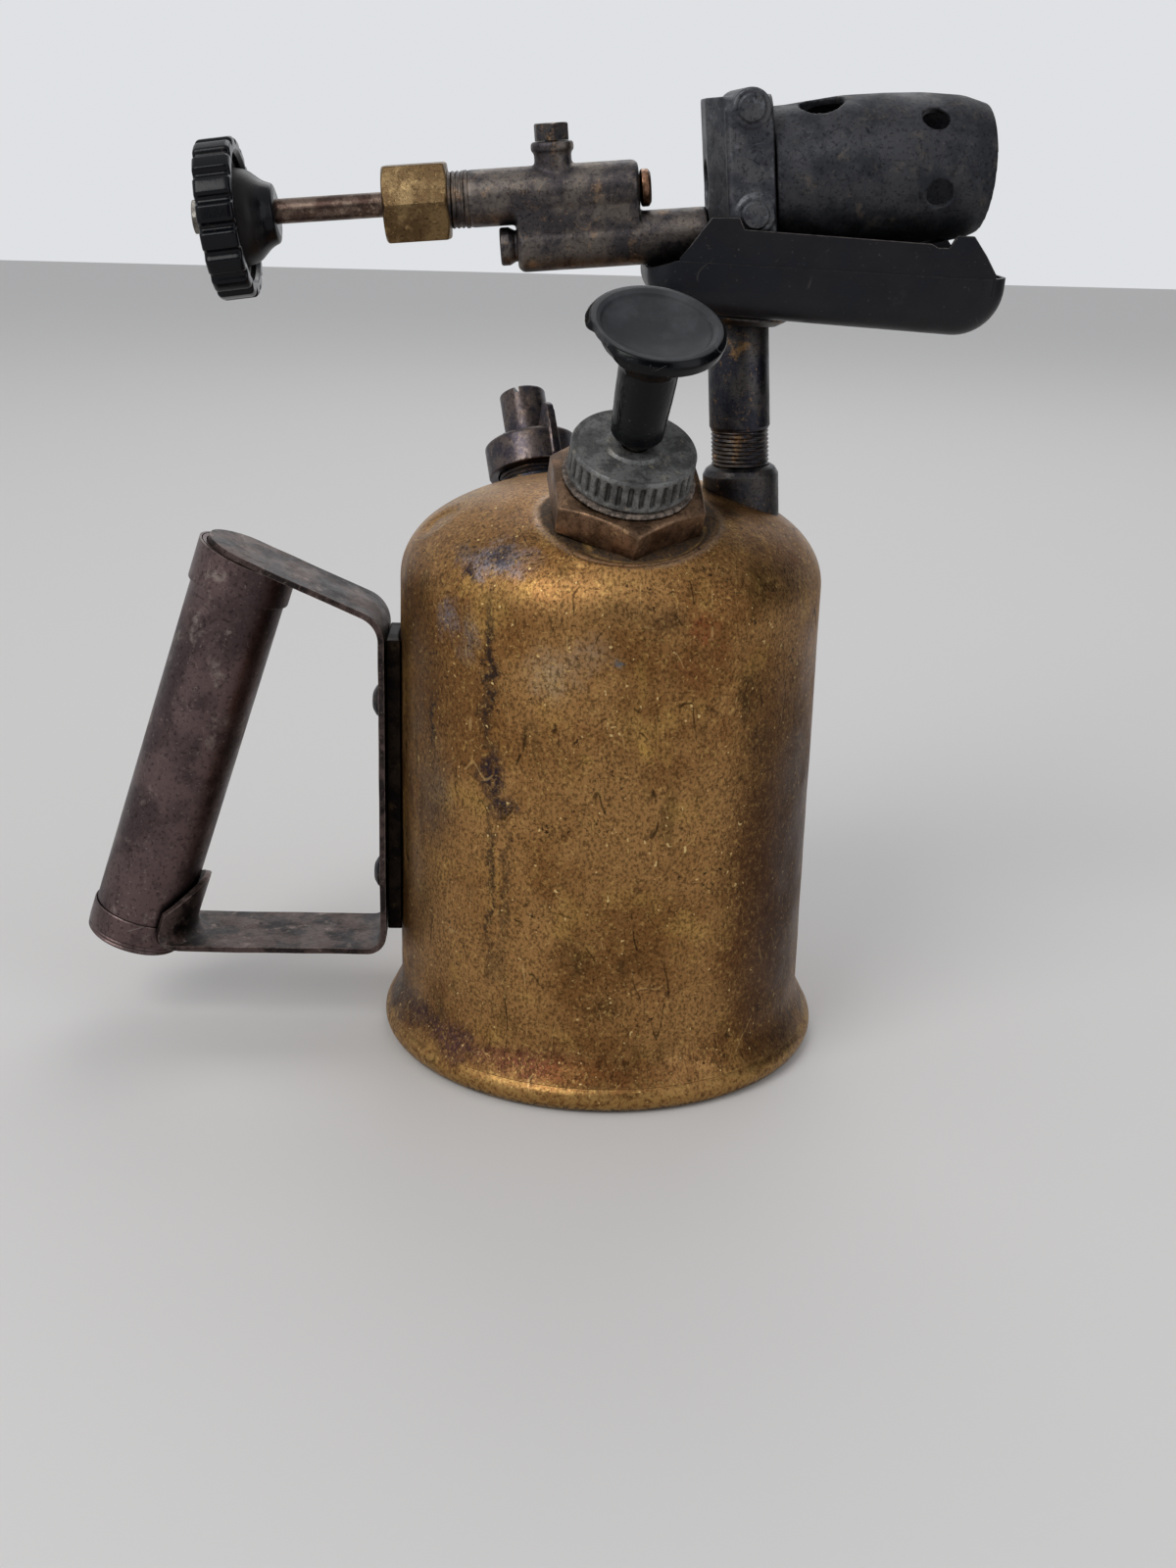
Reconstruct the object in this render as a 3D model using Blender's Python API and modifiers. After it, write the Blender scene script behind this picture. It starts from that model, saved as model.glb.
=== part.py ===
"""Paraffin blow lamp: brass tank, hand pump, filler cap, riser, burner head, priming pan, handle.

Metres, +Z up. The lamp stands on its rolled rim at z = 0. The burner points along +X and the
handle lies on the -X side. The origin is under the middle of the bounding box.
"""
import math

import bpy
import bmesh
from mathutils import Matrix, Vector

# Fits and drawing counts
SEAT = 0.0003            # gap between pieces that rest on or in each other
MERGE = 0.00001
OVERRUN = 0.002          # how far a cutter runs past the face that it opens
OFF_GRID = 7.0           # degrees, keeps a cutter's edges off the edges that it meets
NUT_FACE_SHARE = 0.97    # a nut's turned face, as a share of its width across the flats
NUT_CHAMFER = 25.0       # degrees
COARSE = 8
SMALL = 12
FITTING = 16
MIDDLE = 22
LARGE = 34

# Tank: drawn shell with a superellipse dome, a flared foot and a rolled rim
TANK_RADIUS = 0.0550
TANK_WALL = 0.0010
TANK_STRAIGHT = 0.1260   # height where the dome starts
DOME_RISE = 0.0270
DOME_POWER = 2.25
DOME_STEPS = 9
INNER_STEPS = 5          # the unseen inside of the dome has fewer rings
RIM_ARC = (60, -60)      # degrees, the outer half of the rolled rim
HEM_ARC = (-120, -225)   # degrees, its inner half
RIM_ARC_STEPS = 4
HEM_ARC_STEPS = 3
RIM_BEAD = 0.0040        # radius of the rolled rim
RIM_REACH = 0.0049       # how far the rim stands out from the wall
RIM_FOOT = 0.0028        # width of the flat worn under the rim
FLARE_HEIGHT = 0.0140
FLARE_SHARES = ((0.10, 0.42), (0.40, 0.78))
BASE_HEIGHT = 0.0105     # recessed base plate above the ground
BASE_SHEET = 0.0009
BASE_CROWN = 0.0030

# Pump: leans towards the front of the lamp
PUMP_X = 0.0014
PUMP_Y = -0.0273
PUMP_SINK = 0.00035      # seat below the dome's face on the pump's axis
PUMP_TILT = 27.2         # degrees towards -Y
PUMP_LEAN = 6.3          # degrees towards +X
RECESS_RADIUS = 0.0215   # pressed seat in the dome
HOLE_CLEAR = 0.0003
SEAT_NUT_FLATS = 0.0360
SEAT_NUT_HEIGHT = 0.0087
SEAT_NUT_TURN = 8.7      # degrees
SKIRT_RADIUS = 0.0173
SKIRT_DEPTH = 0.0110
NIPPLE_RADIUS = 0.0124
NIPPLE_HEIGHT = 0.0058
PUMP_WASHER_RADIUS = 0.0162
PUMP_WASHER_SHEET = 0.0009
PUMP_CAP_RADIUS = 0.0153
PUMP_CAP_HEIGHT = 0.0083
PUMP_CAP_TOP = 0.0021
PUMP_CAP_ROUND = 0.0008
PUMP_CAP_BOSS = 0.0072
PUMP_CAP_BOSS_RISE = 0.0007
FLUTES = 34
FLUTE_DEPTH = 0.0008
ROD_RADIUS = 0.0030
ROD_GUIDE = 0.0003
PISTON_LIFT = 0.0200     # piston shoulder above the barrel's end, with the knob pushed home
ROD_THREAD_RADIUS = 0.0024
ROD_THREAD_LENGTH = 0.0098
KNOB_HEIGHT = 0.0533     # top of the knob above the seat, pushed home
KNOB_RADIUS = 0.0166
KNOB_LENGTH = 0.0312
KNOB_DISH = 0.0042
KNOB_BORE_DEPTH = 0.0100
KNOB_DISH_SHARES = ((0.40, 0.86), (0.66, 0.45), (0.81, 0.06), (0.90, 0.0))
KNOB_SIDE_SHARES = ((0.975, 0.03), (1.0, 0.07), (0.97, 0.115), (0.85, 0.16), (0.66, 0.205),
                    (0.51, 0.26), (0.44, 0.34), (0.42, 0.50), (0.40, 0.75))
STEM_RADIUS = 0.0064
BARREL_RADIUS = 0.0105
BARREL_WALL = 0.0008
BARREL_TOP = 0.0120
BARREL_DEPTH = 0.1000
PISTON_CLEAR = 0.0003
CUP_HEIGHT = 0.0062
CUP_WALL = 0.0014
PISTON_SHEET = 0.0012
INNER_WASHER_RADIUS = 0.0065
CUP_NUT_FLATS = 0.0080
CUP_NUT_HEIGHT = 0.0032
VALVE_SPIGOT = 0.0060
VALVE_FLANGE = 0.0017
CAGE_RADIUS = 0.0070
CAGE_LENGTH = 0.0120
CAGE_ROOM = 0.0047
CAGE_FLOOR = 0.0018
INLET_RADIUS = 0.0018
OUTLET_RADIUS = 0.0021
CHECK_DISC_RADIUS = 0.0042
CHECK_DISC_SHEET = 0.0015
CHECK_SPRING_RADIUS = 0.0030
SPRING_WIRE = 0.0003     # radius
SPRING_TURNS = 3
SPRING_POINTS = 8        # per turn

# Filler: screw cap with two ears and a slotted relief valve, square to the dome
FILLER_INSET = 0.01304   # axis inside the tank's wall
FILLER_BEARING = 118.15  # degrees from +X
FILLER_TILT = 28.5       # degrees towards +Y
FILLER_LEAN = 11.0       # degrees towards -X
NECK_RADIUS = 0.0098
NECK_BORE = 0.0075
NECK_DEPTH = 0.0045
NECK_RISE = 0.0070
RIDGE_DEPTH = 0.0003
FILLER_GASKET = 0.0010
CAP_RADIUS = 0.0127
CAP_LIFT = 0.0024        # underside of the cap above the dome
CAP_PLATE = 0.0034
CAP_ROUND = 0.0009
EAR_RISE = 0.0072
EAR_REACH = 0.0006       # how far an ear stands out past the cap
EAR_SHEET = 0.0024
EAR_TURN = -55.0         # degrees
RELIEF_RADIUS = 0.00635
RELIEF_LENGTH = 0.0141
RELIEF_ROUND = 0.0009
RELIEF_SPIGOT = 0.0040
RELIEF_SPIGOT_DEPTH = 0.0018
RELIEF_BORE = 0.0029
RELIEF_BORE_DEPTH = 0.0090
VENT_RADIUS = 0.0012
SLOT_WIDTH = 0.0014
SLOT_DEPTH = 0.0020
SLOT_TURN = 79.0         # degrees
RELIEF_DISC_RADIUS = 0.0024
RELIEF_DISC_SHEET = 0.0013
RELIEF_SPRING_RADIUS = 0.0020

# Burner head: one frame on the riser's axis, leaning nose-up
HEAD_INSET = 0.0251      # head's origin inside the tank's wall
HEAD_RISE = 0.0467       # and above the top of the dome
HEAD_LEAN = 5.0          # degrees
RISER_LEAN = 3.9         # degrees
BURNER_HEIGHT = 0.0270   # burner and spindle axis above the head's origin
FEED_HEIGHT = 0.0152     # feed tube axis above the head's origin

# Riser
SOCKET_RADIUS = 0.00975
SOCKET_TOP = -0.0426
SOCKET_DEPTH = 0.0580
SOCKET_CHAMFER = 0.0021
RISER_RADIUS = 0.00775
RISER_THREAD = 0.00735
RISER_THREAD_TOP = -0.0330
RISER_PITCH = 0.00155
RISER_FOOT = 0.0070
RISER_BORE = 0.0040
RISER_SPIGOT = 0.0055
RISER_SPIGOT_DEPTH = 0.0022
PICKUP_RADIUS = 0.0028
PICKUP_WALL = 0.0006
PICKUP_GRIP = 0.0080
STRAINER_RADIUS = 0.0048
STRAINER_LENGTH = 0.0120
STRAINER_WALL = 0.0006
STRAINER_CLEAR = 0.0047  # end of the strainer above the base plate's crown

# Burner block
BLOCK_BACK = -0.0070
BLOCK_FRONT = 0.0082
BLOCK_FACE = -0.0020     # where the flat of the side face starts
BLOCK_HALF = 0.0186
BLOCK_BOTTOM = 0.0080
BLOCK_TOP = 0.0468
BLOCK_CORNER = 0.0055
BLOCK_CORNER_STEPS = 2
BOSS_RADIUS = 0.0046
BOSS_REACH = 0.0006
CHANNEL_X = 0.0030
CHANNEL_LOW = 0.0196
CHANNEL_HIGH = 0.0439
CHANNEL_RADIUS = 0.0022
CHANNEL_DEPTH = 0.0045
PLUG_RADIUS = 0.0034
PLUG_SHEET = 0.0006
AIR_HOLE_RADIUS = 0.0059
THROAT_RADIUS = 0.0135
THROAT_BACK = -0.0025

# Burner barrel: stations along its axis, from the block
BARREL_SPIGOT = 0.0036
MOUTH_X = 0.0636
NECK_OUTER = 0.0170
BELLY_RADIUS = 0.0185
BELLY_SHARES = ((0.075, 0.15), (0.20, 0.55), (0.33, 1.0), (0.51, 0.97), (0.69, 0.68))
MOUTH_RADIUS = 0.0138
MOUTH_SHARE = 0.865
SHOULDER_RADIUS = 0.0167
BURNER_WALL = 0.0020
MOUTH_CUT = 0.06065      # where the trimmed mouth crosses the axis
MOUTH_PITCH = 6.0        # degrees, the mouth is trimmed a little out of square
MOUTH_YAW = 4.8          # degrees
FLAME_HOLES = 6
FLAME_HOLE_RADIUS = 0.0033
FLAME_HOLE_X = 0.0475
FLAME_HOLE_TURN = 42.5   # degrees
AIR_SLOTS = 2
AIR_SLOT_RADIUS = 0.0054
AIR_SLOT_X = 0.0213
AIR_SLOT_TURN = 73.0     # degrees

# Valve body, jet and plugs: stations along the head's X
VALVE_RADIUS = 0.00685
VALVE_NOSE = -0.0235
VALVE_NECK = -0.0666
VALVE_END = -0.0791
VALVE_THREAD = 0.0066
VALVE_THREAD_LENGTH = 0.0046
RIDGE_PITCH = 0.00115
FEED_RADIUS = 0.0065
FEED_END = -0.0544
FEED_SPIGOT = 0.0045
FEED_SPIGOT_DEPTH = 0.0025
FEED_BORE = 0.0028
CAST_ROUND = 0.0013
WEB_HALF = 0.0060
WEB_INSET = 0.0003
TOP_BOSS_X = -0.0442
TOP_BOSS_RADIUS = 0.0046
TOP_BOSS_LIP = 0.0053
TOP_BOSS_HEIGHT = 0.0393
TOP_BOSS_ROOT = 0.0290
TOP_BOSS_BAND = 0.0020
TOP_PLUG_FLATS = 0.0078
TOP_PLUG_HEIGHT = 0.0039
TOP_PLUG_SHANK = 0.0017
TOP_PLUG_DEPTH = 0.0080
SPINDLE_BORE = 0.0033
SPINDLE_BORE_END = -0.0360
NEEDLE_BORE = 0.0017
JET_THREAD = 0.0022
JET_DEPTH = 0.0063
JET_RADIUS = 0.0045
JET_LENGTH = 0.0026
JET_ROUND = 0.0007
JET_BORE = 0.0004
CLEAN_HEAD = 0.0046
CLEAN_NECK = 0.0038
CLEAN_LENGTH = 0.0039
CLEAN_LIP = 0.0011
CLEAN_SHANK = 0.0025
CLEAN_DEPTH = 0.0060

# Packing nut, gland, spindle and handwheel
PACKING_NUT_FLATS = 0.0180
PACKING_NUT_START = -0.0703
PACKING_NUT_LENGTH = 0.0160
PACKING_NUT_WALL = 0.0028
PACKING_NUT_TURN = 1.0   # degrees
GLAND_RING = 0.0015
GLAND_PACKING = 0.0020
SPINDLE_RADIUS = 0.0030
SPINDLE_END = -0.1182
SPINDLE_TAPER_START = -0.0400
NEEDLE_START = -0.0375
NEEDLE_RADIUS = 0.00135
NEEDLE_POINT = 0.0004
NEEDLE_TAPER = 0.0030
NEEDLE_TIP = -0.0303
TANG_RADIUS = 0.0022
WHEEL_RADIUS = 0.0192
WHEEL_FACE = -0.1204     # rim face on the valve side
WHEEL_WIDTH = 0.0092
WHEEL_RIM = 0.0040
WHEEL_ROUND = 0.0008
WHEEL_SCALLOPS = 18
SCALLOP_DEPTH = 0.0011
SCALLOP_SHARES = ((0.0, 0.0), (0.30, 0.0), (0.44, 1.0), (0.86, 1.0))
FLUTE_SHARES = ((0.0, 0.0), (0.42, 0.0), (0.71, 1.0))
WHEEL_RECESS = 0.0027
HUB_BASE = 0.0122
HUB_END = 0.0071
HUB_LENGTH = 0.0078
HUB_ROUND = 0.0008
WHEEL_DISH = 0.0008
WHEEL_TILT = 3.0         # degrees, the wheel sits a little crooked on its spindle
WHEEL_DROP = 0.0008
WHEEL_DISH_SHARE = 0.5
WHEEL_NUT_FLATS = 0.0080
WHEEL_NUT_HEIGHT = 0.0022
TANG_PROUD = 0.0004

# Priming pan: pressed trough with two side plates, nose down on a collar
PAN_TILT = 3.3           # degrees
PAN_AHEAD = 0.0005       # pan's origin in front of the head's
PAN_DROP = 0.0044        # and below it
PAN_BACK = -0.0250
PAN_NOSE = 0.0622
PAN_HALF = 0.0213
PAN_BACK_RIM = 0.0098    # height of the rim at the middle of the back
PAN_NOSE_RIM = 0.0147
PAN_BACK_FLARE = 0.0025  # how much higher the rim is where the back meets the side
PAN_NOSE_FLARE = -0.0007
PAN_SHEET = 0.0010
PAN_BACK_ROUND = 0.0090
PAN_NOSE_ROUND = 0.0120
PAN_SIDE_ROUND = 0.0065
PAN_ROUND_STEPS = 3
PLATE_HEIGHT = 0.0238
PLATE_ROOT_SHARE = 0.42
PLATE_INSET = 0.0004
PLATE_SHARES = (
    (0.083, 0.546), (0.107, 0.664), (0.161, 0.962), (0.236, 0.983), (0.252, 0.875),
    (0.769, 0.892), (0.788, 0.860), (0.819, 0.866), (0.836, 0.990), (0.884, 1.000),
    (0.925, 0.820), (0.959, 0.640),
)
PAN_HOLE_CLEAR = 0.0006
NOTCH_CLEAR = 0.0008
COLLAR_RADIUS = 0.0121
COLLAR_FOOT = 0.0096
COLLAR_SHEET = 0.0022

# Handle: bent strap on a curved pad, and a tube grip
STRAP_HALF = 0.0126
STRAP_SHEET = 0.0016
PAD_SHEET = 0.0030
PAD_HALF = 0.0100
PAD_RISE = 0.0058        # foot of the pad above the lower leg
PAD_INSET = 0.0150       # top of the pad below the tank's shoulder
STRAP_INSET = 0.0100     # upper bend's corner below the tank's shoulder
STRAP_LOW = 0.0242       # height of the lower leg
STRAP_OVERHANG = 0.0104  # strap's end past the grip's axis
UPPER_SLOPE = 24.0       # degrees
UPPER_BEND = 0.0080
LOWER_BEND = 0.0045
BEND_STEPS = 3
STRAP_COLUMNS = 8
TONGUE_SHARES = (0.03, 0.12, 0.30, 0.60, 1.0)
GRIP_OUT = 0.0701        # foot of the grip's axis outside the strap's upright leg
GRIP_DROP = 0.0014       # and below its lower leg
GRIP_LEAN = 18.0         # degrees
GRIP_RADIUS = 0.0125
GRIP_WALL = 0.0010
GRIP_SPARE = 0.0107      # uncut length past the strap's line, before the top is cut
FERRULE_WALL = 0.0006
END_CAP_WALL = 0.0003
FERRULE_LENGTH = 0.0105  # on the grip's axis, up to the strap's line
END_CAP_LENGTH = 0.0092
END_CAP_BEAD = 0.0002
END_CAP_BEAD_LENGTH = 0.0022
END_CAP_FLOOR = 0.0009
SADDLE_BEND = 0.0050
SADDLE_WRAP = 62.0       # degrees each side
SADDLE_SIDE = 0.0100     # height of the saddle's side edge above the lower leg
SADDLE_TONGUE = 0.0072   # how much higher the middle of the saddle is
SADDLE_SHARES = ((1.0, 0.0, 0.0), (0.35, 0.25, 0.45), (0.0, 1.0, 1.0))  # out, up, wrapped
SADDLE_ROW_SHARES = (0.5, 1.0)
RIVET_HIGH_INSET = 0.0190
RIVET_LOW_INSET = 0.0130
RIVET_HEAD = 0.0046
RIVET_DOME = 0.0022
RIVET_SHANK = 0.0021
RIVET_SHARES = ((0.0, 1.0), (0.50, 0.86), (0.87, 0.50), (1.0, 0.0))
RIVET_BITE = 0.0015

# Finishes: colour, roughness, metallic
FINISHES = {
    "aged_brass": ("7A5A22", 0.42, 1.0),
    "worn_brass": ("8A6636", 0.38, 1.0),
    "dark_bronze": ("3A3029", 0.45, 1.0),
    "brown_bronze": ("5B4638", 0.42, 1.0),
    "zinc_alloy": ("5C6163", 0.50, 1.0),
    "copper_brass": ("A06A40", 0.35, 1.0),
    "cast_iron": ("2B2B2B", 0.65, 1.0),
    "black_steel": ("17181C", 0.50, 0.3),
    "brown_steel": ("4A3832", 0.45, 1.0),
    "bare_steel": ("6B6660", 0.40, 1.0),
    "bakelite": ("101114", 0.28, 0.0),
    "leather": ("4B3323", 0.75, 0.0),
    "fibre": ("3A2A24", 0.80, 0.0),
    "graphite_packing": ("2A2A2C", 0.70, 0.0),
}

LAMP = None
CUTTERS = None


def linear(channel):
    """One sRGB channel, 0 to 1, as linear light."""
    return channel / 12.92 if channel <= 0.04045 else ((channel + 0.055) / 1.055) ** 2.4


def finish(name):
    """The Principled material of a finish, made once for each name."""
    material = bpy.data.materials.get(name) or bpy.data.materials.new(name)
    colour, roughness, metallic = FINISHES[name.split(".")[0]]
    rgb = [linear(int(colour[i:i + 2], 16) / 255) for i in (0, 2, 4)]
    material.use_nodes = True
    shader = material.node_tree.nodes["Principled BSDF"]
    shader.inputs["Base Color"].default_value = (*rgb, 1)
    shader.inputs["Roughness"].default_value = roughness
    shader.inputs["Metallic"].default_value = metallic
    return material


def turns(x=0.0, y=0.0, z=0.0):
    """Euler angles from degrees."""
    return (math.radians(x), math.radians(y), math.radians(z))


def frame_at(name, at, turn, parent):
    """An empty that carries a group of pieces."""
    empty = bpy.data.objects.new(name, None)
    empty.location = at
    empty.rotation_euler = turn
    empty.parent = parent
    LAMP.objects.link(empty)
    return empty


def place(name, mesh, parent, look=None, at=(0, 0, 0), turn=(0, 0, 0)):
    """Link a mesh as a piece with a finish, or as a hidden cutter without one."""
    piece = bpy.data.objects.new(name, mesh)
    piece.location = at
    piece.rotation_euler = turn
    piece.parent = parent
    if look:
        LAMP.objects.link(piece)
        material = finish(look).copy()
        material.name = name + "_finish"
        mesh.materials.append(material)
    else:
        CUTTERS.objects.link(piece)
        piece.hide_render = True
        piece.display_type = 'WIRE'
    return piece


def turned(name, profile, parent, look=None, steps=MIDDLE, closed=False, at=(0, 0, 0), turn=(0, 0, 0)):
    """Turn (radius, height) points about local Z. The profile runs down its outer side."""
    mesh = bpy.data.meshes.new(name)
    edges = [(i, i + 1) for i in range(len(profile) - 1)]
    if closed:
        edges.append((len(profile) - 1, 0))
    mesh.from_pydata([(radius, 0, height) for radius, height in profile], edges, [])
    piece = place(name, mesh, parent, look, at, turn)
    screw = piece.modifiers.new("turn", 'SCREW')
    screw.axis = 'Z'
    screw.steps = screw.render_steps = steps
    screw.use_merge_vertices = True
    screw.merge_threshold = MERGE
    return piece


def rod(name, radius, low, high, parent, look=None, steps=SMALL, at=(0, 0, 0), turn=(0, 0, 0)):
    """A cylinder along local Z between two heights."""
    bm = bmesh.new()
    bmesh.ops.create_cone(bm, cap_ends=True, segments=steps, radius1=radius, radius2=radius,
                          depth=high - low, matrix=Matrix.Translation((0, 0, (low + high) / 2)))
    return solid(name, bm, parent, look, at, turn)


def solid(name, bm, parent, look=None, at=(0, 0, 0), turn=(0, 0, 0)):
    """Turn a bmesh into a placed piece."""
    mesh = bpy.data.meshes.new(name)
    bm.to_mesh(mesh)
    bm.free()
    return place(name, mesh, parent, look, at, turn)


def box(name, low, high, parent, look=None, at=(0, 0, 0), turn=(0, 0, 0)):
    """A box between two corners."""
    bm = bmesh.new()
    size = Vector(high) - Vector(low)
    middle = (Vector(high) + Vector(low)) / 2
    bmesh.ops.create_cube(bm, size=1, matrix=Matrix.Translation(middle) @ Matrix.Diagonal((*size, 1)))
    return solid(name, bm, parent, look, at, turn)


def outline(name, points, low, high, parent, look=None, at=(0, 0, 0), turn=(0, 0, 0)):
    """A flat outline in local XY, filled and extruded between two heights, as a mesh."""
    curve = bpy.data.curves.new(name + "_outline", 'CURVE')
    curve.dimensions = '2D'
    curve.fill_mode = 'BOTH'
    curve.extrude = (high - low) / 2
    spline = curve.splines.new('POLY')
    spline.points.add(len(points) - 1)
    for point, (x, y) in zip(spline.points, points):
        point.co = (x, y, 0, 1)
    spline.use_cyclic_u = True
    guide = bpy.data.objects.new(name + "_outline", curve)
    bpy.context.scene.collection.objects.link(guide)
    evaluated = guide.evaluated_get(bpy.context.evaluated_depsgraph_get())
    mesh = bpy.data.meshes.new_from_object(evaluated)
    bpy.data.objects.remove(guide)
    bm = bmesh.new()
    bm.from_mesh(mesh)
    bmesh.ops.remove_doubles(bm, verts=bm.verts, dist=MERGE)
    bmesh.ops.translate(bm, verts=bm.verts, vec=(0, 0, (high + low) / 2))
    bmesh.ops.recalc_face_normals(bm, faces=bm.faces)
    bpy.data.meshes.remove(mesh)
    return solid(name, bm, parent, look, at, turn)


def combine(piece, tool, how='DIFFERENCE'):
    """Add a Boolean with a hidden tool."""
    step = piece.modifiers.new(how.lower(), 'BOOLEAN')
    step.operation = how
    step.solver = 'EXACT'
    step.object = tool
    return piece


def bore(piece, name, radius, low, high, parent, steps=SMALL, at=(0, 0, 0),
         turn=(0, 0, math.radians(OFF_GRID))):
    """Cut a round hole along the parent's local Z."""
    return combine(piece, rod(name, radius, low, high, parent, None, steps, at, turn))


def star(radius, depth, count, shares):
    """Outline of a ribbed wheel. The shares give the turn and the drop of each corner of a rib."""
    points = []
    for rib in range(count):
        for share, drop in shares:
            angle = 2 * math.pi * (rib + share) / count
            level = radius - drop * depth
            points.append((level * math.cos(angle), level * math.sin(angle)))
    return points


def nut_cone(flats, low, high, both=False):
    """Turned envelope that chamfers a hexagon's corners at the top, or at both ends."""
    corner = flats / math.sqrt(3) + MERGE
    face = flats / 2 * NUT_FACE_SHARE
    slope = math.tan(math.radians(NUT_CHAMFER))
    drop = (corner - face) * slope
    past = face / 2 * slope
    profile = [(0, high + past), (face / 2, high + past), (corner, high - drop)]
    if both:
        return profile + [(corner, low + drop), (face / 2, low - past), (0, low - past)]
    return profile + [(corner, low - past), (0, low - past)]


def hexagon(name, flats, low, high, parent, look=None, at=(0, 0, 0), turn=(0, 0, 0), both=False,
            steps=MIDDLE):
    """A hexagon prism with its corners chamfered by a cone."""
    bm = bmesh.new()
    corner = flats / math.sqrt(3)
    bmesh.ops.create_cone(bm, cap_ends=True, segments=6, radius1=corner, radius2=corner,
                          depth=high - low, matrix=Matrix.Translation((0, 0, (low + high) / 2)))
    piece = solid(name, bm, parent, look, at, turn)
    cone = turned(name + "_chamfer", nut_cone(flats, low, high, both), parent, None, steps,
                  False, at, turn)
    return combine(piece, cone, 'INTERSECT')


def ridges(radius, low, high, spacing):
    """Profile points of annular thread ridges, from the top down, as near the spacing as fits."""
    count = max(1, round((high - low) / spacing))
    pitch = (high - low) / count
    points = []
    for i in range(count):
        top = high - i * pitch
        points += [(radius - RIDGE_DEPTH, top), (radius, top - pitch / 2)]
    return points


def coil(name, radius, low, high, parent, look):
    """A small helical spring, a tube along one unbroken helix."""
    curve = bpy.data.curves.new(name, 'CURVE')
    curve.dimensions = '3D'
    curve.bevel_depth = SPRING_WIRE
    curve.bevel_resolution = 1
    curve.use_fill_caps = True
    spline = curve.splines.new('POLY')
    count = SPRING_TURNS * SPRING_POINTS
    spline.points.add(count)
    for i, point in enumerate(spline.points):
        angle = 2 * math.pi * i / SPRING_POINTS
        height = low + SPRING_WIRE + (high - low - 2 * SPRING_WIRE) * i / count
        point.co = (radius * math.cos(angle), radius * math.sin(angle), height, 1)
    piece = bpy.data.objects.new(name, curve)
    piece.parent = parent
    LAMP.objects.link(piece)
    material = finish(look).copy()
    material.name = name + "_finish"
    curve.materials.append(material)
    return piece


def dome(radius, rise, steps=DOME_STEPS):
    """Points from the axis to the wall along the dome's superellipse."""
    points = []
    for i in range(steps + 1):
        angle = math.pi / 2 * i / steps
        out = radius * math.sin(angle) ** (2 / DOME_POWER)
        up = rise * max(0.0, math.cos(angle)) ** (2 / DOME_POWER)
        points.append((out, TANK_STRAIGHT + up))
    return points


def dome_height(radius):
    """Height of the dome's outer face at a radius."""
    share = (radius / TANK_RADIUS) ** DOME_POWER
    return TANK_STRAIGHT + DOME_RISE * (1 - share) ** (1 / DOME_POWER)


def head_height():
    """Height of the burner head's origin."""
    return TANK_STRAIGHT + DOME_RISE + HEAD_RISE


def arc(x, y, radius, start, end, steps):
    """Points along a circular arc, angles in degrees."""
    points = []
    for i in range(steps + 1):
        angle = math.radians(start + (end - start) * i / steps)
        points.append((x + radius * math.cos(angle), y + radius * math.sin(angle)))
    return points


def tank(lamp, pump, filler, stem):
    """The drawn shell with its three fittings' holes, and the recessed base plate."""
    bead_x = TANK_RADIUS + RIM_REACH - RIM_BEAD
    inside = TANK_RADIUS - TANK_WALL
    rim = arc(bead_x, RIM_BEAD, RIM_BEAD, *RIM_ARC, RIM_ARC_STEPS)
    profile = dome(TANK_RADIUS, DOME_RISE)
    profile.append((TANK_RADIUS, FLARE_HEIGHT))
    for out, down in FLARE_SHARES:
        profile.append((TANK_RADIUS + out * (rim[0][0] - TANK_RADIUS),
                        FLARE_HEIGHT + down * (rim[0][1] - FLARE_HEIGHT)))
    profile += rim
    profile += [(bead_x + RIM_FOOT / 2, 0), (bead_x - RIM_FOOT / 2, 0)]
    profile += arc(bead_x, RIM_BEAD, RIM_BEAD, *HEM_ARC, HEM_ARC_STEPS)
    profile.append((inside, BASE_HEIGHT - SEAT))
    profile += list(reversed(dome(inside, DOME_RISE - TANK_WALL, INNER_STEPS)))
    shell = turned("tank_shell", profile, lamp, "aged_brass", LARGE)
    middle = TANK_RADIUS - TANK_WALL / 2
    body = turned("dome_body", dome(middle, DOME_RISE - TANK_WALL / 2) + [(middle, 0), (0, 0)], lamp,
                  None, LARGE)
    above = 2 * RECESS_RADIUS
    cup = rod("recess_cup", RECESS_RADIUS + TANK_WALL, -TANK_WALL, above, pump, None, MIDDLE)
    combine(cup, body, 'INTERSECT')
    combine(shell, cup, 'UNION')
    bore(shell, "recess_cut", RECESS_RADIUS, 0, above, pump, MIDDLE)
    bore(shell, "pump_hole", SKIRT_RADIUS + HOLE_CLEAR, -SKIRT_DEPTH - OVERRUN, above, pump, MIDDLE)
    bore(shell, "filler_hole", NECK_RADIUS + HOLE_CLEAR, -NECK_DEPTH - OVERRUN, OVERRUN * 2, filler,
         MIDDLE)
    bore(shell, "riser_hole", SOCKET_RADIUS + HOLE_CLEAR, -SOCKET_DEPTH - OVERRUN, SOCKET_TOP, stem,
         MIDDLE)
    edge = inside - SEAT
    top = BASE_HEIGHT + BASE_SHEET
    flat = edge - FLARE_HEIGHT / 2
    turned("base_plate", [(0, top + BASE_CROWN), (flat, top), (edge, top), (edge, BASE_HEIGHT),
                          (flat, BASE_HEIGHT), (0, BASE_HEIGHT + BASE_CROWN)],
           lamp, "aged_brass", LARGE)


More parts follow.
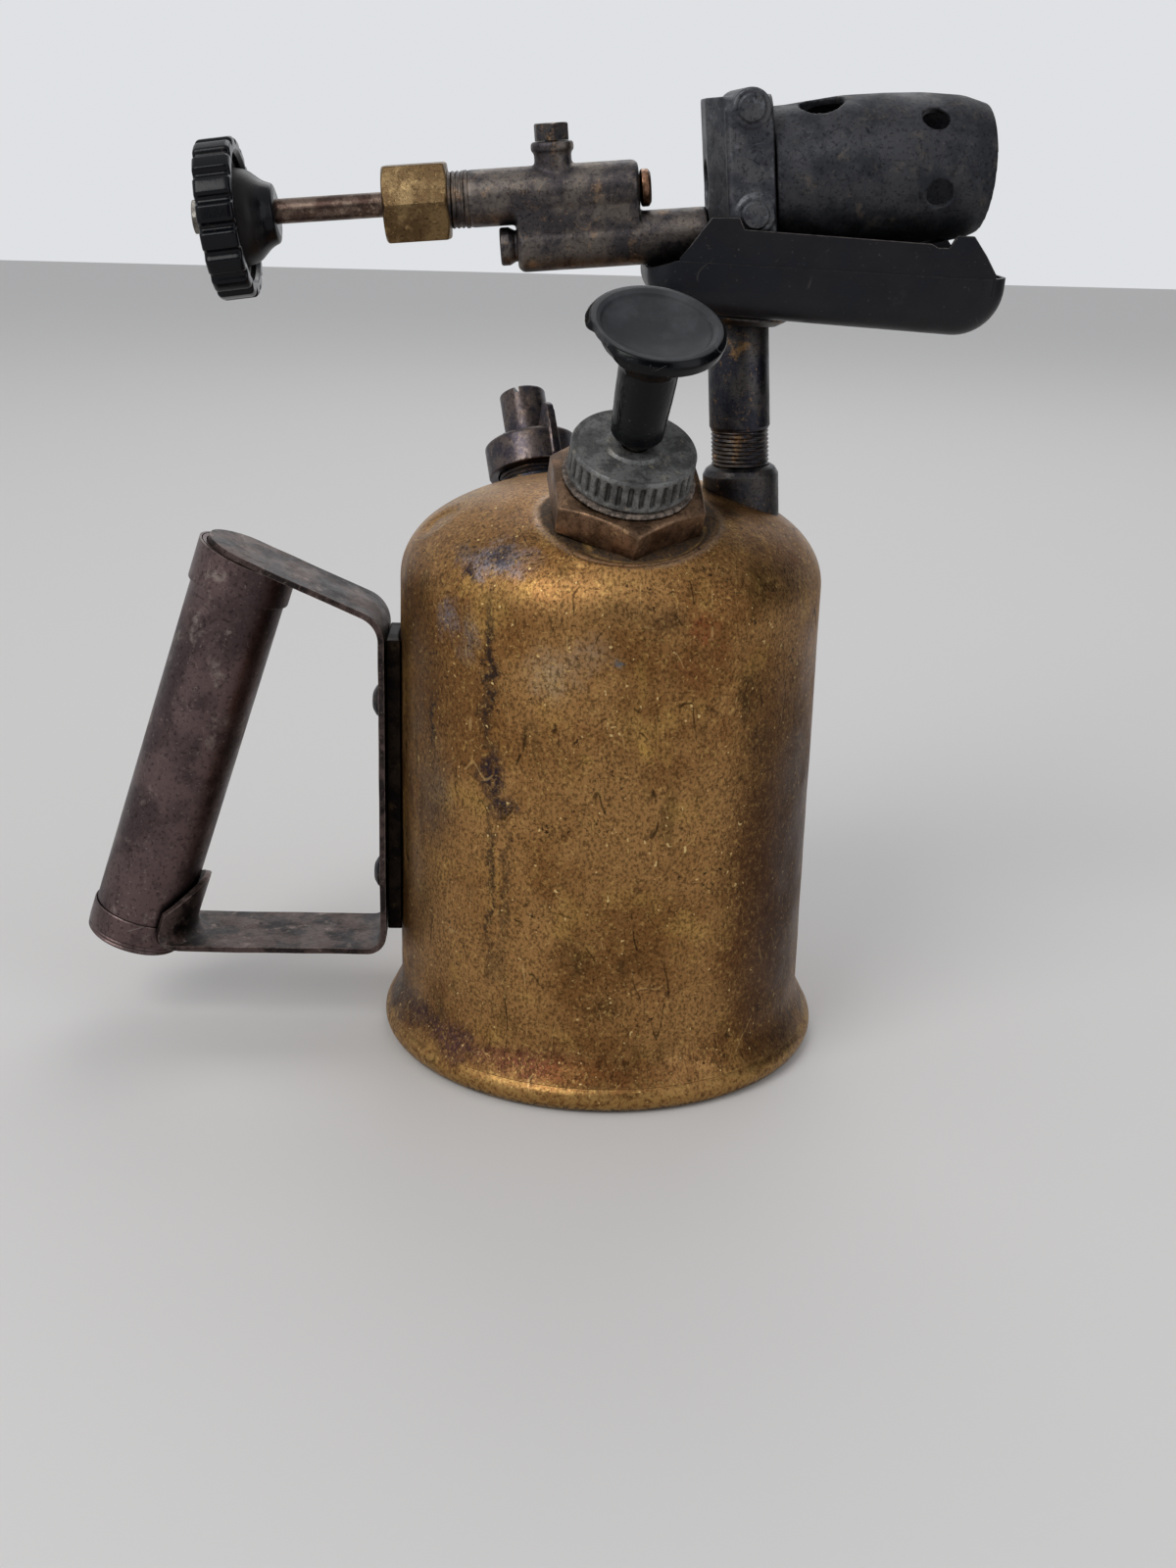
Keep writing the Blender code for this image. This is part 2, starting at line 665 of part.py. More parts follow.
def pump_fixed(pump):
    """Seat nut, washer, knurled cap, barrel and the check valve at its foot."""
    nut_top = SEAT + SEAT_NUT_HEIGHT
    tube = BARREL_RADIUS + SEAT
    nut = turned("pump_seat_nut", [
        (tube, nut_top + NIPPLE_HEIGHT), (NIPPLE_RADIUS, nut_top + NIPPLE_HEIGHT),
        (NIPPLE_RADIUS, nut_top - PUMP_CAP_ROUND), (SKIRT_RADIUS, SEAT + PUMP_CAP_ROUND),
        (SKIRT_RADIUS, -SKIRT_DEPTH), (tube, -SKIRT_DEPTH)], pump, "worn_brass", closed=True)
    flats = hexagon("seat_hexagon", SEAT_NUT_FLATS, SEAT, nut_top, pump,
                    turn=turns(z=SEAT_NUT_TURN))
    bore(flats, "hexagon_hole", (tube + NIPPLE_RADIUS) / 2, -OVERRUN, nut_top + OVERRUN, pump)
    combine(nut, flats, 'UNION')

    washer_low = nut_top + SEAT
    washer_top = washer_low + PUMP_WASHER_SHEET
    inner = NIPPLE_RADIUS + SEAT
    turned("pump_washer", [(inner, washer_top), (PUMP_WASHER_RADIUS, washer_top),
                           (PUMP_WASHER_RADIUS, washer_low), (inner, washer_low)],
           pump, "fibre", closed=True)

    low = washer_top + SEAT
    top = low + PUMP_CAP_HEIGHT
    hole = ROD_RADIUS + ROD_GUIDE
    edge = PUMP_CAP_RADIUS - PUMP_CAP_ROUND
    cap = turned("pump_cap", [
        (hole, top + PUMP_CAP_BOSS_RISE), (PUMP_CAP_BOSS, top + PUMP_CAP_BOSS_RISE),
        (PUMP_CAP_BOSS, top), (edge, top), (PUMP_CAP_RADIUS, top - PUMP_CAP_ROUND),
        (PUMP_CAP_RADIUS, low + PUMP_CAP_ROUND), (edge, low), (inner, low),
        (inner, top - PUMP_CAP_TOP), (hole, top - PUMP_CAP_TOP)], pump, "zinc_alloy", closed=True)
    flutes = outline("cap_flutes", star(PUMP_CAP_RADIUS + MERGE, FLUTE_DEPTH, FLUTES, FLUTE_SHARES),
                     low - OVERRUN, top + OVERRUN, pump)
    combine(cap, flutes, 'INTERSECT')

    bore_radius = BARREL_RADIUS - BARREL_WALL
    turned("pump_barrel", [(bore_radius, BARREL_TOP), (BARREL_RADIUS, BARREL_TOP),
                           (BARREL_RADIUS, -BARREL_DEPTH), (bore_radius, -BARREL_DEPTH)],
           pump, "worn_brass", closed=True)

    spigot = bore_radius - SEAT
    flange = -BARREL_DEPTH - SEAT
    cage_top = flange - VALVE_FLANGE
    floor = cage_top - CAGE_LENGTH
    seat = cage_top
    turned("check_valve_body", [
        (INLET_RADIUS, flange + VALVE_SPIGOT), (spigot, flange + VALVE_SPIGOT), (spigot, flange),
        (BARREL_RADIUS, flange), (BARREL_RADIUS, cage_top), (CAGE_RADIUS, cage_top),
        (CAGE_RADIUS, floor), (OUTLET_RADIUS, floor), (OUTLET_RADIUS, floor + CAGE_FLOOR),
        (CAGE_ROOM, floor + CAGE_FLOOR), (CAGE_ROOM, seat), (INLET_RADIUS, seat)],
           pump, "worn_brass", SMALL, closed=True)
    disc_top = seat - SEAT
    disc_low = disc_top - CHECK_DISC_SHEET
    rod("check_disc", CHECK_DISC_RADIUS, disc_low, disc_top, pump, "leather")
    coil("check_spring", CHECK_SPRING_RADIUS, floor + CAGE_FLOOR + SEAT, disc_low - SEAT, pump,
         "bare_steel")


def knob_profile():
    """The dished knob and its tapered stem, with a blind bore for the rod."""
    top = KNOB_HEIGHT
    foot = top - KNOB_LENGTH
    bore_radius = ROD_RADIUS + SEAT
    points = [(0, top - KNOB_DISH)]
    points += [(share * KNOB_RADIUS, top - drop * KNOB_DISH) for share, drop in KNOB_DISH_SHARES]
    points += [(share * KNOB_RADIUS, top - drop * KNOB_LENGTH) for share, drop in KNOB_SIDE_SHARES]
    points += [(STEM_RADIUS, foot + PUMP_CAP_ROUND), (STEM_RADIUS - PUMP_CAP_ROUND, foot)]
    points += [(bore_radius, foot), (bore_radius, foot + KNOB_BORE_DEPTH), (0, foot + KNOB_BORE_DEPTH)]
    return points


def pump_moving(pump):
    """Knob, rod and the leather piston, at the bottom of their stroke."""
    turned("pump_knob", knob_profile(), pump, "bakelite")
    top = KNOB_HEIGHT - KNOB_LENGTH + KNOB_BORE_DEPTH - SEAT
    shoulder = PISTON_LIFT - BARREL_DEPTH
    end = shoulder - ROD_THREAD_LENGTH
    turned("pump_rod", [(0, top), (ROD_RADIUS, top), (ROD_RADIUS, shoulder),
                        (ROD_THREAD_RADIUS, shoulder), (ROD_THREAD_RADIUS, end), (0, end)],
           pump, "bare_steel", SMALL)
    hole = ROD_THREAD_RADIUS + SEAT
    outer = BARREL_RADIUS - BARREL_WALL - PISTON_CLEAR
    backing_top = shoulder - SEAT
    backing_low = backing_top - PISTON_SHEET
    backing = outer - CUP_WALL / 2
    turned("piston_washer", [(hole, backing_top), (backing, backing_top), (backing, backing_low),
                             (hole, backing_low)], pump, "worn_brass", SMALL, closed=True)
    cup_top = backing_low - SEAT
    web = cup_top - CUP_WALL
    lip = cup_top - CUP_HEIGHT
    turned("piston_leather", [
        (hole, cup_top), (outer - CUP_WALL / 2, cup_top), (outer, cup_top - CUP_WALL / 2),
        (outer, lip), (outer - CUP_WALL, lip), (outer - CUP_WALL, web), (hole, web)],
           pump, "leather", MIDDLE, closed=True)
    inner_top = web - SEAT
    inner_low = inner_top - PISTON_SHEET
    turned("cup_washer", [(hole, inner_top), (INNER_WASHER_RADIUS, inner_top),
                          (INNER_WASHER_RADIUS, inner_low), (hole, inner_low)],
           pump, "worn_brass", SMALL, closed=True)
    nut_top = inner_low - SEAT
    nut = hexagon("cup_nut", CUP_NUT_FLATS, nut_top - CUP_NUT_HEIGHT, nut_top, pump, "worn_brass",
                  steps=SMALL)
    bore(nut, "cup_nut_bore", hole, nut_top - CUP_NUT_HEIGHT - OVERRUN, nut_top + OVERRUN, pump,
         COARSE)


def filler_parts(filler):
    """Threaded neck, gasket, eared screw cap and the slotted relief valve in it."""
    turned("filler_neck", [(NECK_BORE, NECK_RISE), (NECK_RADIUS, NECK_RISE)]
           + ridges(NECK_RADIUS, 0, CAP_LIFT, RIDGE_PITCH)
           + [(NECK_RADIUS, 0), (NECK_RADIUS, -NECK_DEPTH), (NECK_BORE, -NECK_DEPTH)],
           filler, "dark_bronze", closed=True)
    gasket_low = NECK_RISE + SEAT
    gasket_top = gasket_low + FILLER_GASKET
    turned("filler_gasket", [(NECK_BORE, gasket_top), (NECK_RADIUS, gasket_top),
                             (NECK_RADIUS, gasket_low), (NECK_BORE, gasket_low)],
           filler, "leather", closed=True)

    plate_low = gasket_top + SEAT
    top = plate_low + CAP_PLATE
    inner = NECK_RADIUS + SEAT
    socket = RELIEF_SPIGOT + SEAT
    socket_floor = top - RELIEF_SPIGOT_DEPTH
    cap = turned("filler_cap", [
        (socket, top), (CAP_RADIUS - CAP_ROUND, top), (CAP_RADIUS, top - CAP_ROUND),
        (CAP_RADIUS, CAP_LIFT), (inner, CAP_LIFT), (inner, plate_low), (VENT_RADIUS, plate_low),
        (VENT_RADIUS, socket_floor), (socket, socket_floor)], filler, "brown_bronze", closed=True)
    tip = top + EAR_RISE
    root = RELIEF_RADIUS + SEAT
    edge = CAP_RADIUS + EAR_REACH
    skirt = CAP_RADIUS - CAP_ROUND
    foot = CAP_LIFT + CAP_ROUND
    shape = [(root, socket_floor), (skirt, socket_floor), (skirt, foot), (edge, foot), (edge, top),
             (edge - CAP_ROUND / 2, tip - EAR_SHEET), (skirt, tip),
             (skirt - CAP_ROUND, tip - CAP_ROUND / 2), (root, top + CAP_ROUND)]
    for side in (0, 180):
        ear = outline("ear_%d" % side, shape, -EAR_SHEET / 2, EAR_SHEET / 2, filler,
                      turn=turns(90, 0, EAR_TURN + side))
        combine(cap, ear, 'UNION')

    low = socket_floor + SEAT
    head_low = top + SEAT
    head_top = head_low + RELIEF_LENGTH
    room = low + RELIEF_BORE_DEPTH
    relief = turned("relief_valve_body", [
        (0, head_top), (RELIEF_RADIUS - RELIEF_ROUND, head_top),
        (RELIEF_RADIUS, head_top - RELIEF_ROUND), (RELIEF_RADIUS, head_low),
        (RELIEF_SPIGOT, head_low), (RELIEF_SPIGOT, low), (RELIEF_BORE, low), (RELIEF_BORE, room),
        (0, room)], filler, "brown_bronze", FITTING)
    reach = RELIEF_RADIUS + OVERRUN
    combine(relief, box("relief_slot", (-reach, -SLOT_WIDTH / 2, head_top - SLOT_DEPTH),
                        (reach, SLOT_WIDTH / 2, head_top + OVERRUN), filler,
                        turn=turns(z=SLOT_TURN)))
    disc_top = low + RELIEF_DISC_SHEET
    rod("relief_disc", RELIEF_DISC_RADIUS, low, disc_top, filler, "leather", COARSE)
    coil("relief_spring", RELIEF_SPRING_RADIUS, disc_top + SEAT, room - SEAT, filler, "bare_steel")


def riser(stem):
    """Socket on the dome, the riser tube through the pan, and the pick-up pipe below it."""
    foot_bore = RISER_FOOT + SEAT
    turned("riser_socket", [
        (foot_bore, SOCKET_TOP), (SOCKET_RADIUS - SOCKET_CHAMFER, SOCKET_TOP),
        (SOCKET_RADIUS, SOCKET_TOP - SOCKET_CHAMFER), (SOCKET_RADIUS, -SOCKET_DEPTH),
        (foot_bore, -SOCKET_DEPTH)], stem, "dark_bronze", closed=True)
    top = BLOCK_BOTTOM - SEAT
    thread_low = SOCKET_TOP + SEAT
    turned("riser_tube", [
        (RISER_BORE, top + RISER_SPIGOT_DEPTH), (RISER_SPIGOT, top + RISER_SPIGOT_DEPTH),
        (RISER_SPIGOT, top), (RISER_RADIUS, top), (RISER_RADIUS, RISER_THREAD_TOP)]
        + ridges(RISER_THREAD, thread_low, RISER_THREAD_TOP, RISER_PITCH)
        + [(RISER_FOOT, thread_low), (RISER_FOOT, -SOCKET_DEPTH), (RISER_BORE, -SOCKET_DEPTH)],
           stem, "dark_bronze", FITTING, closed=True)
    pipe_top = -SOCKET_DEPTH + PICKUP_GRIP
    floor = BASE_HEIGHT + BASE_SHEET + BASE_CROWN + STRAINER_CLEAR
    low = (floor - head_height()) / math.cos(math.radians(RISER_LEAN))
    end = low + STRAINER_LENGTH / 2
    inner = PICKUP_RADIUS - PICKUP_WALL
    sleeve = RISER_BORE - SEAT
    shoulder = -SOCKET_DEPTH - OVERRUN
    turned("pickup_pipe", [
        (inner, pipe_top), (sleeve, pipe_top), (sleeve, shoulder), (PICKUP_RADIUS, shoulder),
        (PICKUP_RADIUS, end), (inner, end)], stem, "worn_brass", COARSE, closed=True)
    room = PICKUP_RADIUS + SEAT
    bell = STRAINER_RADIUS - STRAINER_WALL
    turned("pickup_strainer", [
        (0, low + STRAINER_WALL), (bell, low + STRAINER_WALL), (bell, end),
        (room, end + STRAINER_WALL), (room, end + STRAINER_LENGTH / 2),
        (room + STRAINER_WALL, end + STRAINER_LENGTH / 2), (STRAINER_RADIUS, end),
        (STRAINER_RADIUS, low), (0, low)], stem, "worn_brass", COARSE)


def valve(head, spindle, feed):
    """Valve body casting with its jet and its two plugs."""
    thread_end = VALVE_NECK - VALVE_THREAD_LENGTH
    thread = ridges(VALVE_THREAD + RIDGE_DEPTH, thread_end, VALVE_NECK, RIDGE_PITCH)
    body = turned("valve_body", [
        (0, VALVE_NOSE), (VALVE_RADIUS - CAST_ROUND, VALVE_NOSE),
        (VALVE_RADIUS, VALVE_NOSE - CAST_ROUND), (VALVE_RADIUS, VALVE_NECK)] + thread
        + [(VALVE_THREAD, thread_end), (VALVE_THREAD, VALVE_END),
           (0, VALVE_END)], spindle, "dark_bronze", FITTING)
    face = BLOCK_BACK - SEAT
    lower = turned("feed_tube", [
        (0, face + FEED_SPIGOT_DEPTH), (FEED_SPIGOT, face + FEED_SPIGOT_DEPTH), (FEED_SPIGOT, face),
        (FEED_RADIUS, face), (FEED_RADIUS, FEED_END + CAST_ROUND),
        (FEED_RADIUS - CAST_ROUND, FEED_END), (0, FEED_END)], feed, None, FITTING)
    web = box("valve_web", (FEED_END + WEB_INSET, -WEB_HALF, FEED_HEIGHT),
              (VALVE_NOSE - WEB_INSET, WEB_HALF, BURNER_HEIGHT), head)
    boss_top = TOP_BOSS_HEIGHT
    boss = turned("top_boss", [
        (0, boss_top), (TOP_BOSS_RADIUS, boss_top), (TOP_BOSS_LIP, boss_top - TOP_BOSS_BAND / 3),
        (TOP_BOSS_LIP, boss_top - TOP_BOSS_BAND), (TOP_BOSS_RADIUS, boss_top - TOP_BOSS_BAND * 4 / 3),
        (TOP_BOSS_RADIUS, TOP_BOSS_ROOT), (0, TOP_BOSS_ROOT)], head, None, SMALL, False,
        (TOP_BOSS_X, 0, 0))
    for tool in (lower, web, boss):
        combine(body, tool, 'UNION')
    jet_bore = JET_THREAD + SEAT
    jet_back = VALVE_NOSE - JET_DEPTH - SEAT
    bore(body, "spindle_bore", SPINDLE_BORE, VALVE_END - OVERRUN, SPINDLE_BORE_END, spindle)
    bore(body, "needle_bore", NEEDLE_BORE, SPINDLE_BORE_END - OVERRUN, jet_back + OVERRUN, spindle,
         COARSE)
    bore(body, "jet_bore", jet_bore, jet_back, VALVE_NOSE + OVERRUN, spindle, COARSE)
    bore(body, "drop_bore", TOP_PLUG_SHANK + SEAT, FEED_HEIGHT, boss_top + OVERRUN, head, COARSE,
         (TOP_BOSS_X, 0, 0))
    bore(body, "feed_bore", FEED_BORE, FEED_END - OVERRUN, face + FEED_SPIGOT_DEPTH + OVERRUN, feed,
         COARSE)

    jet_low = VALVE_NOSE + SEAT
    jet_top = jet_low + JET_LENGTH
    turned("jet_nipple", [
        (JET_BORE, jet_top), (JET_RADIUS - JET_ROUND, jet_top), (JET_RADIUS, jet_top - JET_ROUND),
        (JET_RADIUS, jet_low + JET_ROUND), (JET_RADIUS - JET_ROUND, jet_low), (JET_THREAD, jet_low),
        (JET_THREAD, VALVE_NOSE - JET_DEPTH), (JET_BORE, VALVE_NOSE - JET_DEPTH)],
           spindle, "copper_brass", SMALL, closed=True)

    clean_top = FEED_END - SEAT
    clean_low = clean_top - CLEAN_LENGTH
    shank_top = FEED_END + CLEAN_DEPTH
    turned("cleaning_plug", [
        (0, shank_top), (CLEAN_SHANK, shank_top), (CLEAN_SHANK, clean_top), (CLEAN_NECK, clean_top),
        (CLEAN_HEAD, clean_low + CLEAN_LIP), (CLEAN_HEAD, clean_low), (0, clean_low)],
           feed, "dark_bronze", SMALL)

    plug_low = boss_top + SEAT
    plug = hexagon("top_plug", TOP_PLUG_FLATS, plug_low, plug_low + TOP_PLUG_HEIGHT, head,
                   "dark_bronze", (TOP_BOSS_X, 0, 0), turns(z=OFF_GRID), steps=SMALL)
    combine(plug, rod("top_plug_shank", TOP_PLUG_SHANK, plug_low - TOP_PLUG_DEPTH,
                      plug_low + TOP_PLUG_HEIGHT / 2, head, None, COARSE, (TOP_BOSS_X, 0, 0)), 'UNION')


def spindle_parts(spindle):
    """Packing nut and gland, then the spindle with its handwheel and nut."""
    start = PACKING_NUT_START
    end = start - PACKING_NUT_LENGTH
    room = VALVE_THREAD + RIDGE_DEPTH + SEAT
    wall = end + PACKING_NUT_WALL
    nut = hexagon("packing_nut", PACKING_NUT_FLATS, end, start, spindle, "worn_brass",
                  turn=turns(z=PACKING_NUT_TURN), both=True)
    bore(nut, "packing_room", room, wall, start + OVERRUN, spindle, FITTING)
    bore(nut, "packing_hole", SPINDLE_BORE, end - OVERRUN, wall + OVERRUN, spindle)
    outer = room - SEAT
    ring_low = wall + SEAT
    ring_top = ring_low + GLAND_RING
    turned("gland_ring", [(SPINDLE_BORE, ring_top), (outer, ring_top), (outer, ring_low),
                          (SPINDLE_BORE, ring_low)], spindle, "worn_brass", SMALL, closed=True)
    pack_low = ring_top + SEAT
    pack_top = pack_low + GLAND_PACKING
    turned("gland_packing", [(SPINDLE_BORE, pack_top), (outer, pack_top), (outer, pack_low),
                             (SPINDLE_BORE, pack_low)],
           spindle, "graphite_packing", SMALL, closed=True)

    back = -WHEEL_WIDTH
    dish = back - WHEEL_DISH
    nut_top = WHEEL_FACE + dish - 2 * SEAT
    nut_low = nut_top - WHEEL_NUT_HEIGHT
    tang_end = nut_low - TANG_PROUD
    turned("valve_spindle", [
        (0, NEEDLE_TIP), (NEEDLE_POINT, NEEDLE_TIP), (NEEDLE_RADIUS, NEEDLE_TIP - NEEDLE_TAPER),
        (NEEDLE_RADIUS, NEEDLE_START), (SPINDLE_RADIUS, SPINDLE_TAPER_START),
        (SPINDLE_RADIUS, SPINDLE_END), (TANG_RADIUS, SPINDLE_END), (TANG_RADIUS, tang_end),
        (0, tang_end)], spindle, "brown_steel", SMALL)

    crooked = frame_at("wheel_axis", (WHEEL_DROP, 0, WHEEL_FACE), turns(0, -WHEEL_TILT, 0), spindle)
    bore_radius = SPINDLE_RADIUS + SEAT
    tang_bore = TANG_RADIUS + SEAT
    rim = WHEEL_RADIUS - WHEEL_RIM
    wheel = turned("handwheel", [
        (0, HUB_LENGTH), (HUB_END - HUB_ROUND, HUB_LENGTH), (HUB_END, HUB_LENGTH - HUB_ROUND),
        (HUB_BASE, 0), (HUB_BASE, -WHEEL_RECESS), (rim, -WHEEL_RECESS), (rim, -WHEEL_ROUND),
        (rim + WHEEL_ROUND, 0), (WHEEL_RADIUS - WHEEL_ROUND, 0), (WHEEL_RADIUS, -WHEEL_ROUND),
        (WHEEL_RADIUS, back + WHEEL_ROUND), (WHEEL_RADIUS - WHEEL_ROUND, back),
        (WHEEL_RADIUS * WHEEL_DISH_SHARE, dish), (0, dish)], crooked, "bakelite")
    scallops = outline("wheel_scallops",
                       star(WHEEL_RADIUS + MERGE, SCALLOP_DEPTH, WHEEL_SCALLOPS, SCALLOP_SHARES),
                       dish - OVERRUN, HUB_LENGTH + OVERRUN, crooked)
    combine(wheel, scallops, 'INTERSECT')
    bore(wheel, "wheel_bore", bore_radius, SPINDLE_END - SEAT, WHEEL_FACE + HUB_LENGTH + OVERRUN,
         spindle)
    bore(wheel, "tang_bore", tang_bore, nut_top - OVERRUN, SPINDLE_END, spindle, COARSE)
    wheel_nut = hexagon("wheel_nut", WHEEL_NUT_FLATS, nut_low, nut_top, spindle, "bare_steel",
                        both=True, steps=SMALL)
    bore(wheel_nut, "wheel_nut_bore", tang_bore, nut_low - OVERRUN, nut_top + OVERRUN, spindle,
         COARSE)


def rounded_rectangle(low_x, low_y, high_x, high_y, radius, steps):
    """Corner points of a rounded rectangle, anticlockwise."""
    points = arc(high_x - radius, low_y + radius, radius, -90, 0, steps)
    points += arc(high_x - radius, high_y - radius, radius, 0, 90, steps)
    points += arc(low_x + radius, high_y - radius, radius, 90, 180, steps)
    points += arc(low_x + radius, low_y + radius, radius, 180, 270, steps)
    return points


def burner(head, spindle):
    """Vaporiser block with its channel plugs, and the flared burner barrel."""
    slope = BLOCK_HALF * 2 / 3
    cut = BLOCK_CORNER / 4
    plan = [(BLOCK_FRONT - cut, -BLOCK_HALF), (BLOCK_FRONT, cut - BLOCK_HALF),
            (BLOCK_FRONT, BLOCK_HALF - cut), (BLOCK_FRONT - cut, BLOCK_HALF),
            (BLOCK_FACE, BLOCK_HALF), ((BLOCK_BACK + BLOCK_FACE) / 2, slope), (BLOCK_BACK, slope / 2),
            (BLOCK_BACK, -slope / 2), ((BLOCK_BACK + BLOCK_FACE) / 2, -slope),
            (BLOCK_FACE, -BLOCK_HALF)]
    block = outline("burner_block", plan, BLOCK_BOTTOM, BLOCK_TOP, head, "cast_iron")
    front = rounded_rectangle(-BLOCK_TOP, -BLOCK_HALF - MERGE, -BLOCK_BOTTOM, BLOCK_HALF + MERGE,
                              BLOCK_CORNER, BLOCK_CORNER_STEPS)
    combine(block, outline("block_front", front, BLOCK_BACK - OVERRUN, BLOCK_FRONT + OVERRUN, head,
                           turn=turns(0, 90, 0)), 'INTERSECT')
    reach = BLOCK_HALF + BOSS_REACH
    levels = ((CHANNEL_LOW, "low"), (CHANNEL_HIGH, "high"))
    sides = ((-1, "near"), (1, "far"))
    for height, level in levels:
        combine(block, rod("boss_" + level, BOSS_RADIUS, -reach, reach, head, None, SMALL,
                           (CHANNEL_X, 0, height), turns(90)), 'UNION')
    for height, level in levels:
        for side, face in sides:
            at = (CHANNEL_X, side * (reach - CHANNEL_DEPTH), height)
            bore(block, "channel_%s_%s" % (face, level), CHANNEL_RADIUS, 0,
                 CHANNEL_DEPTH + OVERRUN, head, COARSE, at, turns(-90 * side))
    bore(block, "throat", THROAT_RADIUS, THROAT_BACK, BLOCK_FRONT + OVERRUN, spindle, MIDDLE)
    bore(block, "air_hole", AIR_HOLE_RADIUS, BLOCK_BACK - OVERRUN, THROAT_BACK + OVERRUN, spindle,
         SMALL)
    bore(block, "riser_socket_hole", RISER_SPIGOT + SEAT, BLOCK_BOTTOM - OVERRUN,
         BLOCK_BOTTOM + RISER_SPIGOT_DEPTH, head)
    bore(block, "feed_socket_hole", FEED_SPIGOT + SEAT, BLOCK_BACK - OVERRUN,
         BLOCK_BACK + FEED_SPIGOT_DEPTH, head, SMALL, (0, 0, FEED_HEIGHT), turns(0, 90, 0))

    shank = CHANNEL_RADIUS - SEAT
    foot = SEAT - CHANNEL_DEPTH * 2 / 3
    head_top = SEAT + PLUG_SHEET
    for side, face in sides:
        for height, level in levels:
            turned("channel_plug_%s_%s" % (face, level), [
                (0, head_top), (PLUG_RADIUS - PLUG_SHEET / 2, head_top),
                (PLUG_RADIUS, head_top - PLUG_SHEET / 2), (PLUG_RADIUS, SEAT), (shank, SEAT),
                (shank, foot), (0, foot)], head, "cast_iron", SMALL, False,
                (CHANNEL_X, side * reach, height), turns(-90 * side))

    start = BLOCK_FRONT + SEAT
    back = start - BARREL_SPIGOT
    spigot = THROAT_RADIUS - SEAT
    length = MOUTH_X - start
    outer = [(spigot, back), (spigot, start), (NECK_OUTER, start)]
    outer += [(NECK_OUTER + bulge * (BELLY_RADIUS - NECK_OUTER), start + share * length)
              for share, bulge in BELLY_SHARES]
    outer += [(SHOULDER_RADIUS, start + MOUTH_SHARE * length), (MOUTH_RADIUS, MOUTH_X)]
    inner = [(radius - BURNER_WALL, station) for radius, station in reversed(outer[2:])]
    inner[-1] = (spigot - BURNER_WALL, start + BURNER_WALL)
    inner.append((spigot - BURNER_WALL, back))
    profile = list(reversed(outer + inner))
    barrel = turned("burner_barrel", profile, spindle, "cast_iron", closed=True)
    reach = BELLY_RADIUS + OVERRUN
    combine(barrel, box("mouth_trim", (-reach, -reach, 0), (reach, reach, reach), spindle, None,
                        (0, 0, MOUTH_CUT), turns(-MOUTH_YAW, MOUTH_PITCH, 0)))
    for i in range(FLAME_HOLES):
        drill(barrel, "flame_hole_%d" % i, FLAME_HOLE_RADIUS, FLAME_HOLE_X, reach,
              FLAME_HOLE_TURN + 360 / FLAME_HOLES * i, spindle)
    for i in range(AIR_SLOTS):
        drill(barrel, "air_slot_%d" % i, AIR_SLOT_RADIUS, AIR_SLOT_X, reach,
              AIR_SLOT_TURN + 360 / AIR_SLOTS * i, spindle)


def drill(piece, name, radius, station, reach, angle, spindle):
    """Drill from the axis outwards; the angle is measured up from the front side."""
    rise = math.radians(angle)
    out = Vector((-math.sin(rise), -math.cos(rise), 0))
    tool = rod(name, radius, reach / 3, reach, spindle, None, COARSE, (0, 0, station))
    tool.rotation_mode = 'QUATERNION'
    tool.rotation_quaternion = out.to_track_quat('Z', 'Y')
    combine(piece, tool)


def floor_path(lift):
    """The pan's lengthwise section, moved inwards all along."""
    back = PAN_BACK_ROUND
    nose = PAN_NOSE_ROUND
    share = lift / PAN_SIDE_ROUND
    path = [(PAN_BACK + lift, PAN_BACK_RIM + share * PAN_BACK_FLARE)]
    path += arc(PAN_BACK + back, back, back - lift, 180, 270, PAN_ROUND_STEPS)
    path += arc(PAN_NOSE - nose, nose, nose - lift, 270, 360, PAN_ROUND_STEPS)
    path.append((PAN_NOSE - lift, PAN_NOSE_RIM + share * PAN_NOSE_FLARE))
    return path


